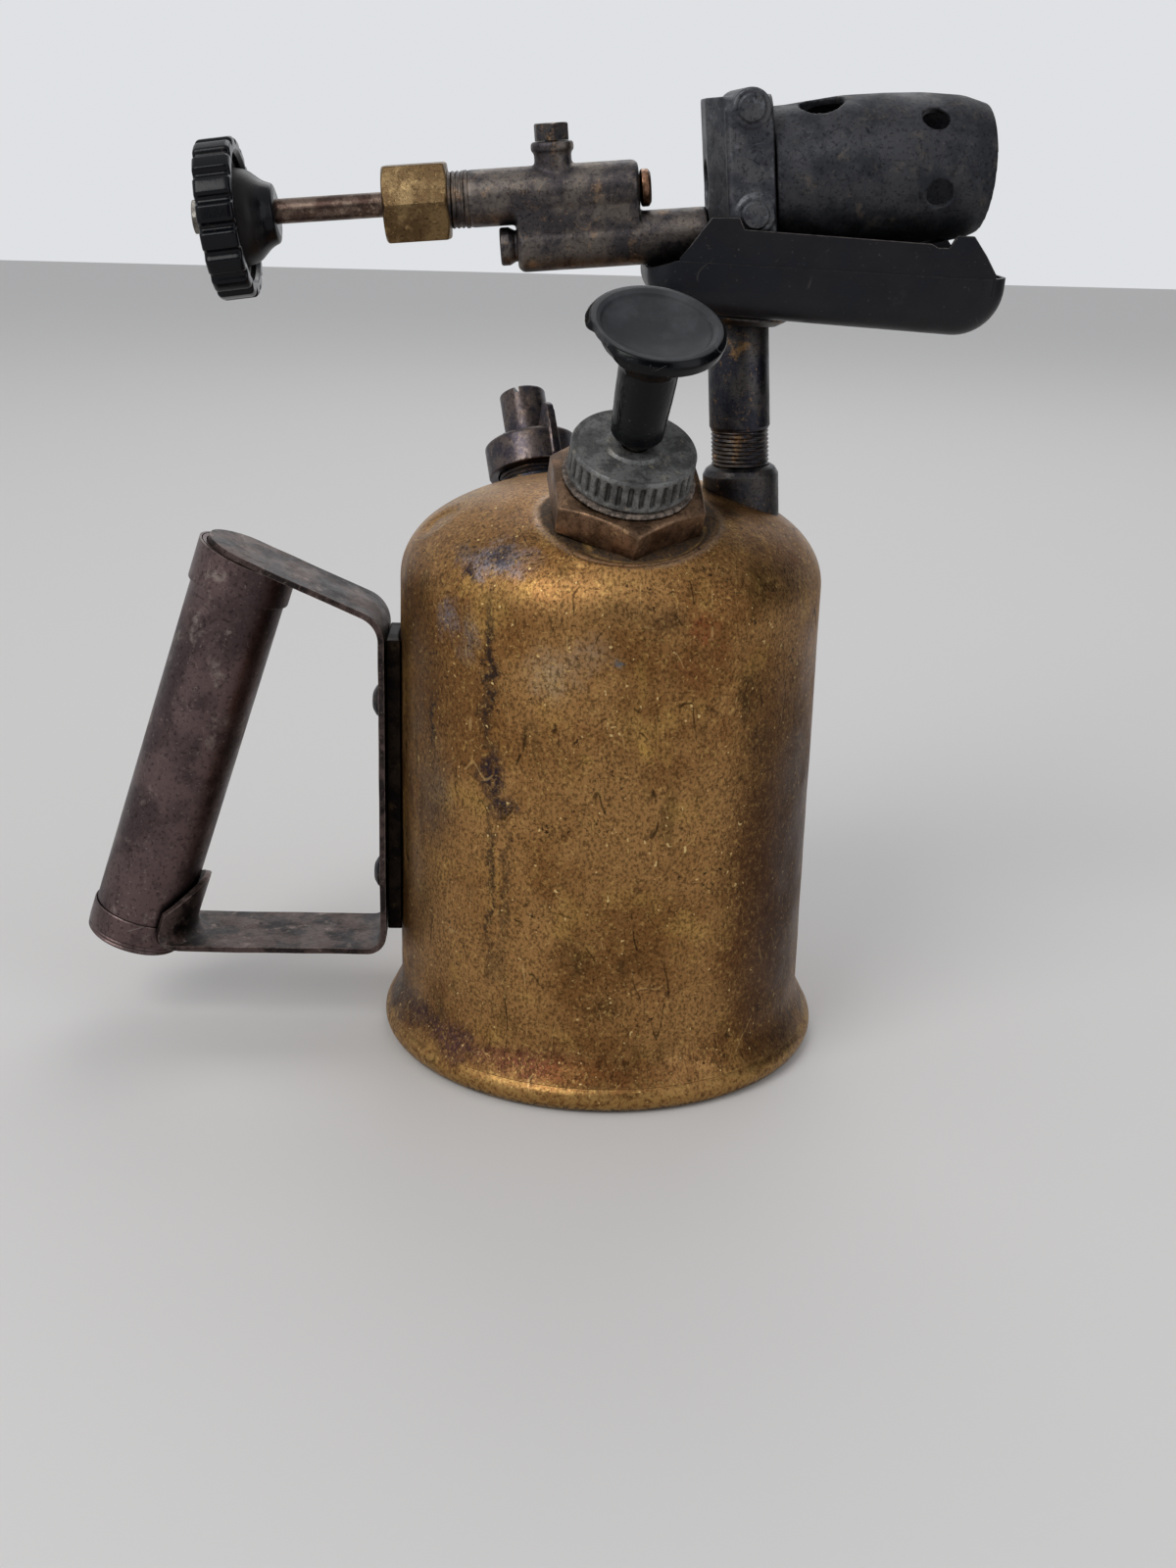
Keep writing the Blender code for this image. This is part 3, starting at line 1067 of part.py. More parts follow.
def pan_parts(pan, head, stem):
    """Pressed trough with side plates, and the collar that carries it on the riser."""
    section = arc(-PAN_HALF + PAN_SIDE_ROUND, PAN_SIDE_ROUND, PAN_SIDE_ROUND, 180, 270,
                  PAN_ROUND_STEPS)
    section += [(-y, lift) for y, lift in reversed(section)]
    bm = bmesh.new()
    grid = [[bm.verts.new((x, y, z)) for x, z in floor_path(lift)] for y, lift in section]
    for near, far in zip(grid, grid[1:]):
        for i in range(len(near) - 1):
            bm.faces.new((near[i], near[i + 1], far[i + 1], far[i]))
    bm.faces.new(grid[0])
    bm.faces.new(grid[-1])
    bmesh.ops.recalc_face_normals(bm, faces=bm.faces)
    trough = solid("priming_pan", bm, pan, "black_steel")
    shell = trough.modifiers.new("sheet", 'SOLIDIFY')
    shell.thickness = PAN_SHEET
    shell.offset = -1
    shell.use_even_offset = True

    length = PAN_NOSE - PAN_BACK
    plate = [(PAN_BACK + x * length, z * PLATE_HEIGHT) for x, z in PLATE_SHARES]
    root = PLATE_ROOT_SHARE * PLATE_HEIGHT
    plate = [(plate[0][0], root)] + plate + [(plate[-1][0], root)]
    outer = PAN_HALF - PLATE_INSET
    for side in (-1, 1):
        low, high = sorted((side * outer, side * (outer - PAN_SHEET)))
        wall = outline("plate_%d" % side, plate, -high, -low, pan, turn=turns(90))
        combine(trough, wall, 'UNION')
    bore(trough, "pan_hole", RISER_RADIUS + PAN_HOLE_CLEAR, -COLLAR_RADIUS, COLLAR_RADIUS, stem,
         FITTING)
    bore(trough, "feed_notch", FEED_RADIUS + NOTCH_CLEAR, FEED_END, BLOCK_BACK - OVERRUN, head,
         FITTING, (0, 0, FEED_HEIGHT), turns(0, 90, 0))
    collar = turned("pan_collar", [
        (0, -SEAT), (COLLAR_RADIUS, -SEAT), (COLLAR_RADIUS, -SEAT - COLLAR_SHEET / 3),
        (COLLAR_FOOT, -SEAT - COLLAR_SHEET), (0, -SEAT - COLLAR_SHEET)], pan, "dark_bronze")
    bore(collar, "collar_hole", RISER_RADIUS + SEAT, -COLLAR_RADIUS, COLLAR_RADIUS, stem, FITTING)


def filleted(points, radii):
    """A polyline in (x, z) with each inner corner replaced by an arc."""
    path = [Vector(points[0])]
    for before, corner, after, radius in zip(points, points[1:], points[2:], radii):
        here = Vector(corner)
        inward = (here - Vector(before)).normalized()
        onward = (Vector(after) - here).normalized()
        bend = inward.angle(onward)
        tangent = radius * math.tan(bend / 2)
        side = 1 if inward.x * onward.y - inward.y * onward.x > 0 else -1
        normal = Vector((-inward.y, inward.x)) * side
        centre = here - inward * tangent + normal * radius
        for i in range(BEND_STEPS + 1):
            swing = side * bend * i / BEND_STEPS
            path.append(centre + Matrix.Rotation(swing, 2) @ (-normal * radius))
    path.append(Vector(points[-1]))
    return path


def strap_leg():
    """Where the strap's upright leg stands, along X."""
    return -(TANK_RADIUS + 2 * SEAT + PAD_SHEET + STRAP_SHEET / 2)


def grip_foot():
    """Where the grip's axis starts, as (x, z)."""
    return strap_leg() - GRIP_OUT, STRAP_LOW - GRIP_DROP


def grip_length():
    """Length along the grip's axis up to the middle of the strap's upper leg."""
    foot_x, foot_z = grip_foot()
    slope = math.tan(math.radians(UPPER_SLOPE))
    lean = math.radians(GRIP_LEAN)
    rise = strap_top() - foot_z + (strap_leg() - foot_x) * slope
    return rise / (math.cos(lean) + math.sin(lean) * slope)


def strap_top():
    """Height of the upper bend's corner."""
    return TANK_STRAIGHT - STRAP_INSET


def grip_point(radius, angle, height):
    """A point given about the leaning grip's axis, in the lamp's frame."""
    foot_x, foot_z = grip_foot()
    lean = math.radians(GRIP_LEAN)
    out = radius * math.cos(angle)
    return Vector((foot_x + out * math.cos(lean) + height * math.sin(lean),
                   radius * math.sin(angle),
                   foot_z - out * math.sin(lean) + height * math.cos(lean)))


def grip_height(radius, angle, level):
    """Height along the grip's axis of a point that lies at a level above the ground."""
    lean = math.radians(GRIP_LEAN)
    return (level - grip_foot()[1] + radius * math.cos(angle) * math.sin(lean)) / math.cos(lean)


def strap_rows(leg_x):
    """Rows of points across the strap, from its round top end to the tongue of its saddle."""
    slope = math.radians(UPPER_SLOPE)
    corner = strap_top()
    crossing = grip_point(0, 0, grip_length())
    leg = (leg_x - crossing.x) / math.cos(slope) + STRAP_OVERHANG
    tip = (leg_x - leg * math.cos(slope), corner + leg * math.sin(slope))
    across = [2 * i / STRAP_COLUMNS - 1 for i in range(STRAP_COLUMNS + 1)]
    middle = GRIP_RADIUS + FERRULE_WALL + 2 * SEAT + STRAP_SHEET / 2
    start = grip_point(middle + 2 * SADDLE_BEND, 0, grip_height(middle, 0, STRAP_LOW))
    path = filleted([tip, (leg_x, corner), (leg_x, STRAP_LOW), (start.x, STRAP_LOW)],
                    (UPPER_BEND, LOWER_BEND))
    rows = []
    along = (path[1] - path[0]).normalized()
    for share in TONGUE_SHARES:
        back = share * STRAP_HALF
        half = math.sqrt(STRAP_HALF ** 2 - (STRAP_HALF - back) ** 2)
        spot = path[0] + along * back
        rows.append([Vector((spot.x, half * u, spot.y)) for u in across])
    for spot in path[1:]:
        rows.append([Vector((spot.x, STRAP_HALF * u, spot.y)) for u in across])
    wrap = math.radians(SADDLE_WRAP)
    for out, up, wrapped in SADDLE_SHARES:
        radius = middle + out * SADDLE_BEND
        row = []
        for u in across:
            flat = math.asin(STRAP_HALF * u / radius)
            angle = flat + wrapped * (wrap * u - flat)
            level = STRAP_LOW + up * SADDLE_BEND
            row.append(grip_point(radius, angle, grip_height(radius, angle, level)))
        rows.append(row)
    for rise in SADDLE_ROW_SHARES:
        row = []
        for u in across:
            edge = SADDLE_SIDE + SADDLE_TONGUE * math.cos(math.pi / 2 * u)
            level = STRAP_LOW + SADDLE_BEND + rise * (edge - SADDLE_BEND)
            row.append(grip_point(middle, wrap * u, grip_height(middle, wrap * u, level)))
        rows.append(row)
    return rows


def handle(lamp):
    """Strap, pad, rivets and the tube grip with its ferrule and end cap."""
    leg_x = strap_leg()
    bm = bmesh.new()
    grid = [[bm.verts.new(point) for point in row] for row in strap_rows(leg_x)]
    for upper, lower in zip(grid, grid[1:]):
        for i in range(STRAP_COLUMNS):
            bm.faces.new((upper[i], upper[i + 1], lower[i + 1], lower[i]))
    bmesh.ops.recalc_face_normals(bm, faces=bm.faces)
    strap = solid("handle_strap", bm, lamp, "black_steel")
    sheet = strap.modifiers.new("sheet", 'SOLIDIFY')
    sheet.thickness = STRAP_SHEET
    sheet.offset = 0
    sheet.use_even_offset = True

    pad_x = -(TANK_RADIUS + SEAT + PAD_SHEET)
    pad_low = STRAP_LOW + PAD_RISE
    pad_high = TANK_STRAIGHT - PAD_INSET
    pad = box("handle_pad", (pad_x, -PAD_HALF, pad_low),
              (-TANK_RADIUS + PAD_SHEET, PAD_HALF, pad_high), lamp, "aged_brass")
    bore(pad, "pad_curve", TANK_RADIUS + SEAT, pad_low - OVERRUN, pad_high + OVERRUN, lamp, LARGE * 2)

    face = leg_x - STRAP_SHEET / 2
    bite = pad_x + RIVET_BITE
    shank = SEAT + (bite - face)
    rivets = ((pad_low + RIVET_LOW_INSET, "low"), (pad_high - RIVET_HIGH_INSET, "high"))
    for height, level in rivets:
        spot = (face, 0, height)
        outwards = turns(0, -90, 0)
        turned("handle_rivet_" + level, [
            (out * RIVET_HEAD, SEAT + up * RIVET_DOME) for out, up in RIVET_SHARES]
            + [(RIVET_SHANK, SEAT), (RIVET_SHANK, -shank), (0, -shank)],
               lamp, "dark_bronze", SMALL, False, spot, outwards)
        bore(strap, "strap_hole_" + level, RIVET_SHANK + SEAT, -shank - OVERRUN, OVERRUN, lamp,
             COARSE, spot, outwards)
        bore(pad, "pad_hole_" + level, RIVET_SHANK + SEAT, -shank - SEAT, OVERRUN, lamp, COARSE,
             spot, outwards)

    foot_x, foot_z = grip_foot()
    grip = frame_at("grip_axis", (foot_x, 0, foot_z), turns(0, GRIP_LEAN, 0), lamp)
    reach = grip_length() + GRIP_SPARE
    ferrule_start = grip_length() - FERRULE_LENGTH
    bore_radius = GRIP_RADIUS - GRIP_WALL
    low = END_CAP_FLOOR + SEAT
    tube = turned("grip_tube", [(bore_radius, reach), (GRIP_RADIUS, reach),
                                (GRIP_RADIUS, low), (bore_radius, low)],
                  grip, "brown_steel", closed=True)
    sleeve = GRIP_RADIUS + SEAT
    skin = sleeve + FERRULE_WALL
    ferrule = turned("grip_ferrule", [(sleeve, reach), (skin, reach),
                                      (skin, ferrule_start), (sleeve, ferrule_start)],
                     grip, "brown_steel", closed=True)
    slope = math.radians(UPPER_SLOPE)
    shear = box("strap_line", (foot_x, -STRAP_HALF * 2, -STRAP_SHEET / 2 - SEAT),
                (STRAP_HALF, STRAP_HALF * 2, reach), lamp, None, (leg_x, 0, strap_top()),
                (0, slope, 0))
    combine(tube, shear)
    combine(ferrule, shear)
    cap = sleeve + END_CAP_WALL
    bead = cap + END_CAP_BEAD
    turned("grip_end_cap", [
        (0, END_CAP_FLOOR), (sleeve, END_CAP_FLOOR), (sleeve, END_CAP_LENGTH), (cap, END_CAP_LENGTH),
        (cap, END_CAP_BEAD_LENGTH), (bead, END_CAP_BEAD_LENGTH * 3 / 4),
        (cap, END_CAP_BEAD_LENGTH / 4), (cap - END_CAP_BEAD_LENGTH / 2, 0), (0, 0)],
           grip, "brown_steel")


def under_the_middle(root):
    """Move the lamp so that the origin is under the middle of its bounding box."""
    bpy.context.view_layer.update()
    graph = bpy.context.evaluated_depsgraph_get()
    corners = []
    for piece in LAMP.objects:
        if piece.type in {'MESH', 'CURVE'}:
            drawn = piece.evaluated_get(graph)
            mesh = drawn.to_mesh()
            corners += [drawn.matrix_world @ vert.co for vert in mesh.vertices]
            drawn.to_mesh_clear()
    low = Vector([min(corner[i] for corner in corners) for i in range(3)])
    high = Vector([max(corner[i] for corner in corners) for i in range(3)])
    root.location = -Vector(((low.x + high.x) / 2, (low.y + high.y) / 2, low.z))


def build():
    """Clear the scene and model the lamp."""
    global LAMP, CUTTERS
    for ob in list(bpy.data.objects):
        bpy.data.objects.remove(ob)
    LAMP = bpy.data.collections.new("paraffin_blow_lamp")
    CUTTERS = bpy.data.collections.new("cutters")
    for collection in (LAMP, CUTTERS):
        bpy.context.scene.collection.children.link(collection)
    lamp = frame_at("lamp", (0, 0, 0), (0, 0, 0), None)
    pump_z = dome_height(math.hypot(PUMP_X, PUMP_Y)) - PUMP_SINK
    pump = frame_at("pump_axis", (PUMP_X, PUMP_Y, pump_z), turns(PUMP_TILT, PUMP_LEAN, 0), lamp)
    out = TANK_RADIUS - FILLER_INSET
    bearing = math.radians(FILLER_BEARING)
    filler = frame_at("filler_axis", (out * math.cos(bearing), out * math.sin(bearing), dome_height(out)),
                      turns(-FILLER_TILT, -FILLER_LEAN, 0), lamp)
    head_x = TANK_RADIUS - HEAD_INSET
    head = frame_at("burner_head", (head_x, 0, head_height()), turns(0, -HEAD_LEAN, 0), lamp)
    bend = math.radians(HEAD_LEAN - RISER_LEAN)
    stem_at = (-BLOCK_BOTTOM * math.sin(bend), 0, BLOCK_BOTTOM * (1 - math.cos(bend)))
    stem = frame_at("riser_axis", stem_at, (0, bend, 0), head)
    spindle = frame_at("spindle_axis", (0, 0, BURNER_HEIGHT), turns(0, 90, 0), head)
    feed = frame_at("feed_axis", (0, 0, FEED_HEIGHT), turns(0, 90, 0), head)
    pan = frame_at("pan_frame", (head_x + PAN_AHEAD, 0, head_height() - PAN_DROP),
                   turns(0, PAN_TILT, 0), lamp)
    tank(lamp, pump, filler, stem)
    pump_fixed(pump)
    pump_moving(pump)
    filler_parts(filler)
    riser(stem)
    valve(head, spindle, feed)
    spindle_parts(spindle)
    burner(head, spindle)
    pan_parts(pan, head, stem)
    handle(lamp)
    under_the_middle(lamp)
    for piece in LAMP.objects:
        if piece.type == 'MESH':
            piece.data.shade_smooth()


build()
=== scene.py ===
"""Paraffin blow lamp: aged brass tank, hand pump, burner head and handle, dressed over the CAD frame.

Each piece is drawn in millimetres about its own axis, and put() sets it in its place in metres.
The axes below are the lamp's own; the solids of the frame stand on the same ones.
"""

import math

import bmesh
import bpy
from mathutils import Euler, Matrix, Vector, noise


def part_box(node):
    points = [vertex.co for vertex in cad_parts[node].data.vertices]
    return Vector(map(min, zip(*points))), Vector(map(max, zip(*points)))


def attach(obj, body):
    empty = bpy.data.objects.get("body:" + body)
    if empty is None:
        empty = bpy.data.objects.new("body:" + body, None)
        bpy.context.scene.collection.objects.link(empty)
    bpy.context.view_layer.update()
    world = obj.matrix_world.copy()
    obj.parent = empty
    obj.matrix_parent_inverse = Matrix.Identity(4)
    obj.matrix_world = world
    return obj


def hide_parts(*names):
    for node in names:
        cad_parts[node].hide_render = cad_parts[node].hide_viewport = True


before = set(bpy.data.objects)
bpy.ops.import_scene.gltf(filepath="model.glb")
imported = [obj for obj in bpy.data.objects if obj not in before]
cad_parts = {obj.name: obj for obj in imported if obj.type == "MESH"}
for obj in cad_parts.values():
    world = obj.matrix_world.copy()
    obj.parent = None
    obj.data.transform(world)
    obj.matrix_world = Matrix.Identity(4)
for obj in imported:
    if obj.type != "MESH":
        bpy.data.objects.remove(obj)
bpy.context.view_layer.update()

MM = 0.001
WELD = 0.0005          # points of one shape that lie closer than this, in millimetres, are one point
NUT_FACE_SHARE = 0.97  # a nut's turned face, as a share of its width across the flats
NUT_CHAMFER = 25       # degrees
WALL = 55.0            # radius of the tank's wall
SHOULDER = 126.0       # height where its dome starts
DOME_RISE = 27.0
DOME_POWER = 2.25      # exponent of the dome's superellipse
BRASS_SHEET = 1.0

# Working axes, in millimetres

def axis(parent, at, x=0.0, y=0.0, z=0.0):
    """An axis set on another one and turned in degrees."""
    turn = Euler((math.radians(x), math.radians(y), math.radians(z))).to_matrix().to_4x4()
    return parent @ Matrix.Translation(at) @ turn


tank_low, tank_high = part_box("tank_shell")
centre = (tank_low + tank_high) / 2
LAMP = Matrix.Translation((centre.x, centre.y, 0)) @ Matrix.Scale(MM, 4)
PUMP = axis(LAMP, (1.4, -27.3, 150.0), 27.2, 6.3)
FILLER = axis(LAMP, (-19.8, 37.0, 145.05), -28.5, -11.0)
HEAD = axis(LAMP, (29.9, 0, 199.7), 0, -5.0)
STEM = axis(HEAD, (-0.1536, 0, 0.0015), 0, 1.1)
SPINDLE = axis(HEAD, (0, 0, 27.0), 0, 90)
FEED = axis(HEAD, (0, 0, 15.2), 0, 90)
WHEEL = axis(SPINDLE, (0.8, 0, -120.4), 0, -3.0)
PAN = axis(LAMP, (30.4, 0, 195.3), 0, 3.3)
GRIP_FOOT = Vector((-129.5, 0, 22.8))
GRIP_LEAN = math.radians(18)
GRIP = axis(LAMP, GRIP_FOOT, 0, 18)


# Shapes

def arc(x, y, radius, first, last, steps):
    """Points of an arc, between two angles in degrees."""
    angles = [math.radians(first + (last - first) * k / steps) for k in range(steps + 1)]
    return [(x + radius * math.cos(angle), y + radius * math.sin(angle)) for angle in angles]


def rounded(corners, closed=False, steps=5):
    """Points of a section whose corners, given as (out, up, radius), are rounded."""
    path = []
    for i, corner in enumerate(corners):
        here = Vector(corner[:2])
        if len(corner) < 3 or (not closed and i in (0, len(corners) - 1)):
            path.append(here)
            continue
        back = (Vector(corners[i - 1][:2]) - here).normalized()
        on = (Vector(corners[(i + 1) % len(corners)][:2]) - here).normalized()
        half = back.angle(on) / 2
        middle = here + (back + on).normalized() * corner[2] / math.sin(half)
        start = here + back * corner[2] / math.tan(half) - middle
        end = here + on * corner[2] / math.tan(half) - middle
        sweep = math.atan2(start.x * end.y - start.y * end.x, start.dot(end))
        path += [middle + Matrix.Rotation(sweep * k / steps, 2) @ start for k in range(steps + 1)]
    return path


def divided(path, pitch, closed=False):
    """The same section with no stretch longer than the pitch."""
    fine = []
    ends = path[1:] + path[:1] if closed else path[1:]
    for here, there in zip(path, ends):
        count = max(1, math.ceil((there - here).length / pitch))
        fine += [here.lerp(there, k / count) for k in range(count)]
    return fine if closed else fine + [path[-1]]


def turned(corners, steps=96, closed=False, pitch=0.0):
    """A section in (radius, height), turned about the upright axis."""
    path = rounded(corners, closed)
    if pitch:
        path = divided(path, pitch, closed)
    bm = bmesh.new()
    verts = [bm.verts.new((point.x, 0, point.y)) for point in path]
    edges = [bm.edges.new(pair) for pair in zip(verts, verts[1:])]
    if closed:
        edges.append(bm.edges.new((verts[-1], verts[0])))
    bmesh.ops.spin(bm, geom=verts + edges, cent=(0, 0, 0), axis=(0, 0, 1), angle=2 * math.pi,
                   steps=steps, use_merge=True, use_duplicate=False)
    return tidy(bm)


def tidy(bm):
    """Merge doubles and point the faces outwards."""
    bmesh.ops.remove_doubles(bm, verts=bm.verts, dist=WELD)
    bmesh.ops.recalc_face_normals(bm, faces=bm.faces)
    return bm


def reshaped(bm, rule):
    """Move each point by a rule on its radius, angle and height."""
    for vert in bm.verts:
        x, y, z = vert.co
        out, angle, up = rule(math.hypot(x, y), math.atan2(y, x), z)
        vert.co = (out * math.cos(angle), out * math.sin(angle), up)
    return bm


def threaded(bm, root, low, high, depth, pitch):
    """Cut a right-hand thread between two heights into what lies outside a radius.

    The real pitch is about 0.85 mm, which is too fine to show, so each thread is drawn coarser.
    """
    def rule(out, angle, up):
        if out > root and low < up < high:
            out -= depth * abs(2 * ((up / pitch + angle / (2 * math.pi)) % 1) - 1)
        return out, angle, up

    return reshaped(bm, rule)


def smooth(low, high, value):
    """Ease from 0 at low to 1 at high."""
    share = min(1.0, max(0.0, (value - low) / (high - low)))
    return share * share * (3 - 2 * share)


def hexagon(flats, low, high, hole, both_ends=False, turn=0.0):
    """A machined nut with its corners chamfered, on the top or at both ends."""
    half = flats / 2
    face = half * NUT_FACE_SHARE
    slope = math.tan(math.radians(NUT_CHAMFER))
    bm = turned([(hole, low), (face, low), (half, low), (half, high), (face, high), (hole, high)],
                144, True)

    def rule(out, angle, up):
        if out > half * 0.99:
            off = (math.degrees(angle) + 30) % 60 - 30
            out = half / math.cos(math.radians(off))
            drop = max(0.0, (out - face) * slope)
            if up > (low + high) / 2:
                up = high - drop
            elif both_ends:
                up = low + drop
        return out, angle, up

    reshaped(bm, rule)
    bm.transform(Matrix.Rotation(math.radians(turn), 4, 'Z'))
    return bm


def drum(radius, low, high, steps=48):
    """A plain round cutter or core along the upright axis."""
    bm = bmesh.new()
    bmesh.ops.create_cone(bm, cap_ends=True, segments=steps, radius1=radius, radius2=radius,
                          depth=high - low, matrix=Matrix.Translation((0, 0, (low + high) / 2)))
    return bm


def block(low, high):
    """A plain box between two corners."""
    bm = bmesh.new()
    size = Vector(high) - Vector(low)
    middle = (Vector(high) + Vector(low)) / 2
    bmesh.ops.create_cube(bm, size=1, matrix=Matrix.Translation(middle) @ Matrix.Diagonal((*size, 1)))
    return bm


def plate(points, low, high):
    """A flat outline in (x, y), raised between two heights."""
    bm = bmesh.new()
    face = bm.faces.new([bm.verts.new((point[0], point[1], low)) for point in points])
    raised = bmesh.ops.extrude_face_region(bm, geom=[face])["geom"]
    verts = [item for item in raised if isinstance(item, bmesh.types.BMVert)]
    bmesh.ops.translate(bm, verts=verts, vec=(0, 0, high - low))
    return tidy(bm)


def sheet(rows):
    """A sheet of faces through rows of points."""
    along, across = len(rows) - 1, len(rows[0]) - 1
    bm = bmesh.new()
    bmesh.ops.create_grid(bm, x_segments=along, y_segments=across, size=1)
    for vert in bm.verts:
        row = rows[round((vert.co.x + 1) / 2 * along)]
        vert.co = row[round((vert.co.y + 1) / 2 * across)]
    return bm


def placed(bm, where):
    """The shape moved by an axis that is given in the millimetres of the piece it joins."""
    bm.transform(where)
    return bm


def as_mesh(name, bm):
    """A mesh that takes over a shape."""
    mesh = bpy.data.meshes.new(name)
    bm.to_mesh(mesh)
    bm.free()
    return mesh


def shown(name, data):
    """A new object in the scene."""
    ob = bpy.data.objects.new(name, data)
    bpy.context.scene.collection.objects.link(ob)
    return ob


def joined(shapes):
    """Several shapes as one."""
    whole = bmesh.new()
    for bm in shapes:
        mesh = as_mesh("joined", bm)
        whole.from_mesh(mesh)
        bpy.data.meshes.remove(mesh)
    return whole


def settled(ob, *tools):
    """The shape that an object's modifiers give, with the working objects removed."""
    graph = bpy.context.evaluated_depsgraph_get()
    mesh = bpy.data.meshes.new_from_object(ob.evaluated_get(graph))
    bm = bmesh.new()
    bm.from_mesh(mesh)
    bpy.data.meshes.remove(mesh)
    for spent in (ob, *tools):
        bpy.data.objects.remove(spent)
    return bm


def carve(ob, cutters, how='DIFFERENCE'):
    """Cut a working object with shapes, and give back the tools that hold them."""
    tools = [shown("tool", as_mesh("tool", cutter)) for cutter in cutters]
    for tool in tools:
        step = ob.modifiers.new("cut", 'BOOLEAN')
        step.operation = how
        step.solver = 'EXACT'
        step.object = tool
    return tools


def melt(ob, grain):
    """Make one skin of a working object, with a grain in millimetres."""
    step = ob.modifiers.new("melt", 'REMESH')
    step.mode = 'VOXEL'
    step.voxel_size = grain


def cut(bm, cutters, how='DIFFERENCE'):
    """Cut a shape with others, keeping the edges crisp."""
    ob = shown("work", as_mesh("work", bm))
    return settled(ob, *carve(ob, cutters, how))


def cast(shapes, cutters, grain, passes):
    """Melt shapes into one casting, cut it, and round its edges as a sand mould does."""
    ob = shown("casting", as_mesh("casting", joined(shapes)))
    melt(ob, grain)
    tools = carve(ob, cutters)
    melt(ob, grain)
    soften = ob.modifiers.new("soften", 'SMOOTH')
    soften.factor = 0.5
    soften.iterations = passes
    return settled(ob, *tools)


def put(name, bm, where, look, node, body="lamp_body", bevel=0.0, sharp=35.0):
    """Set a shape in its place as a piece that stands for a CAD node and rides on its body."""
    bm.transform(where)
    mesh = as_mesh(name, bm)
    mesh.shade_smooth()
    mesh.set_sharp_from_angle(angle=math.radians(sharp))
    mesh.materials.append(look)
    piece = shown(name, mesh)
    if bevel:
        edge = piece.modifiers.new("edge", 'BEVEL')
        edge.width = bevel * MM
        edge.segments = 2
        edge.limit_method = 'ANGLE'
        edge.angle_limit = math.radians(40)
    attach(piece, body)
    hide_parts(node)


# Finishes. Colours are sRGB; pattern sizes are real millimetres unless a comment says otherwise.

def colour(code):
    """An sRGB hex colour in linear light."""
    parts = [int(code[i:i + 2], 16) / 255 for i in (0, 2, 4)]
    return (*[c / 12.92 if c <= 0.04045 else ((c + 0.055) / 1.055) ** 2.4 for c in parts], 1)


def live(node):
    """The output that a node's settings leave in use."""
    return next(socket for socket in node.outputs if socket.enabled)


def add(tree, kind, inputs=None, **settings):
    """Add a node with its settings, and set or link its inputs."""
    node = tree.nodes.new("ShaderNode" + kind)
    for key, value in settings.items():
        setattr(node, key, value)
    for key, value in (inputs or {}).items():
        if isinstance(value, bpy.types.Node):
            value = live(value)
        if isinstance(value, bpy.types.NodeSocket):
            tree.links.new(value, node.inputs[key])
        else:
            node.inputs[key].default_value = value
    return node


def begin(name, roughness, metallic, **sockets):
    """A new material with its shader's even values set on the shader itself."""
    material = bpy.data.materials.new(name)
    material.use_nodes = True
    shader = material.node_tree.nodes["Principled BSDF"]
    shader.inputs["Roughness"].default_value = roughness
    shader.inputs["Metallic"].default_value = metallic
    for key, value in sockets.items():
        shader.inputs[key.replace("_", " ")].default_value = value
    return material, material.node_tree


def finished(material, tint, rough, depth, *heights):
    """The material, linked to its colour and roughness, and to a bump from patterns with their shares."""
    tree = material.node_tree
    shader = tree.nodes["Principled BSDF"]
    total, *others = [meet(tree, pattern, share) for pattern, share in heights]
    for part in others:
        total = add(tree, "Math", {0: total, 1: part}, operation='ADD')
    bump = add(tree, "Bump", {"Strength": 1.0, "Distance": depth * MM, "Height": total})
    for node, name in ((tint, "Base Color"), (rough, "Roughness"), (bump, "Normal")):
        tree.links.new(live(node), shader.inputs[name])
    return material


def patches(tree, size, low, high, detail=4.0, seed=0.0, stretch=(1, 1, 1)):
    """Ragged patches of about a size in millimetres, 0 outside and 1 inside."""
    where = add(tree, "TexCoord").outputs["Object"]
    scale = 1 / (size * MM)
    moved = add(tree, "Mapping", {0: where, 1: (seed, seed * 0.7, -seed), 3: [scale * s for s in stretch]})
    cloud = add(tree, "TexNoise", {"Vector": moved, "Scale": 1.0, "Detail": detail, "Roughness": 0.66})
    return add(tree, "MapRange", {0: cloud.outputs[0], 1: low, 2: high}, interpolation_type='SMOOTHSTEP')


def meet(tree, first, *others):
    """Where masks and shares all meet."""
    for mask in others:
        first = add(tree, "Math", {0: first, 1: mask}, operation='MULTIPLY')
    return first


def hairlines(tree, length, width, stretch, seed, share=0.58):
    """Thin curved scratches, in short stretches."""
    where = add(tree, "TexCoord").outputs["Object"]
    scale = 1 / (length * MM)
    moved = add(tree, "Mapping", {0: where, 1: (seed, seed, seed), 2: (0.3, 0.5 + seed, 0.2),
                                  3: [scale * s for s in stretch]})
    cloud = add(tree, "TexNoise", {"Vector": moved, "Scale": 1.0, "Detail": 1.5})
    off = add(tree, "Math", {0: cloud.outputs[0], 1: 0.5}, operation='SUBTRACT')
    away = add(tree, "Math", {0: off}, operation='ABSOLUTE')
    line = add(tree, "MapRange", {0: away, 1: width, 2: width * 0.3})
    return meet(tree, line, patches(tree, length * 0.45, share, share + 0.06, 3.0, seed + 3))


def worn_edges(tree, reach, low, high):
    """1 where a convex or concave edge lies within a reach in millimetres."""
    softened = add(tree, "Bevel", {"Radius": reach * MM}, samples=6)
    true = add(tree, "NewGeometry").outputs["Normal"]
    match = add(tree, "VectorMath", {0: softened, 1: true}, operation='DOT_PRODUCT')
    turn = add(tree, "MapRange", {0: match, 1: high, 2: low})
    return meet(tree, turn, patches(tree, 2.2, 0.25, 0.75, 5.0, 2.0))


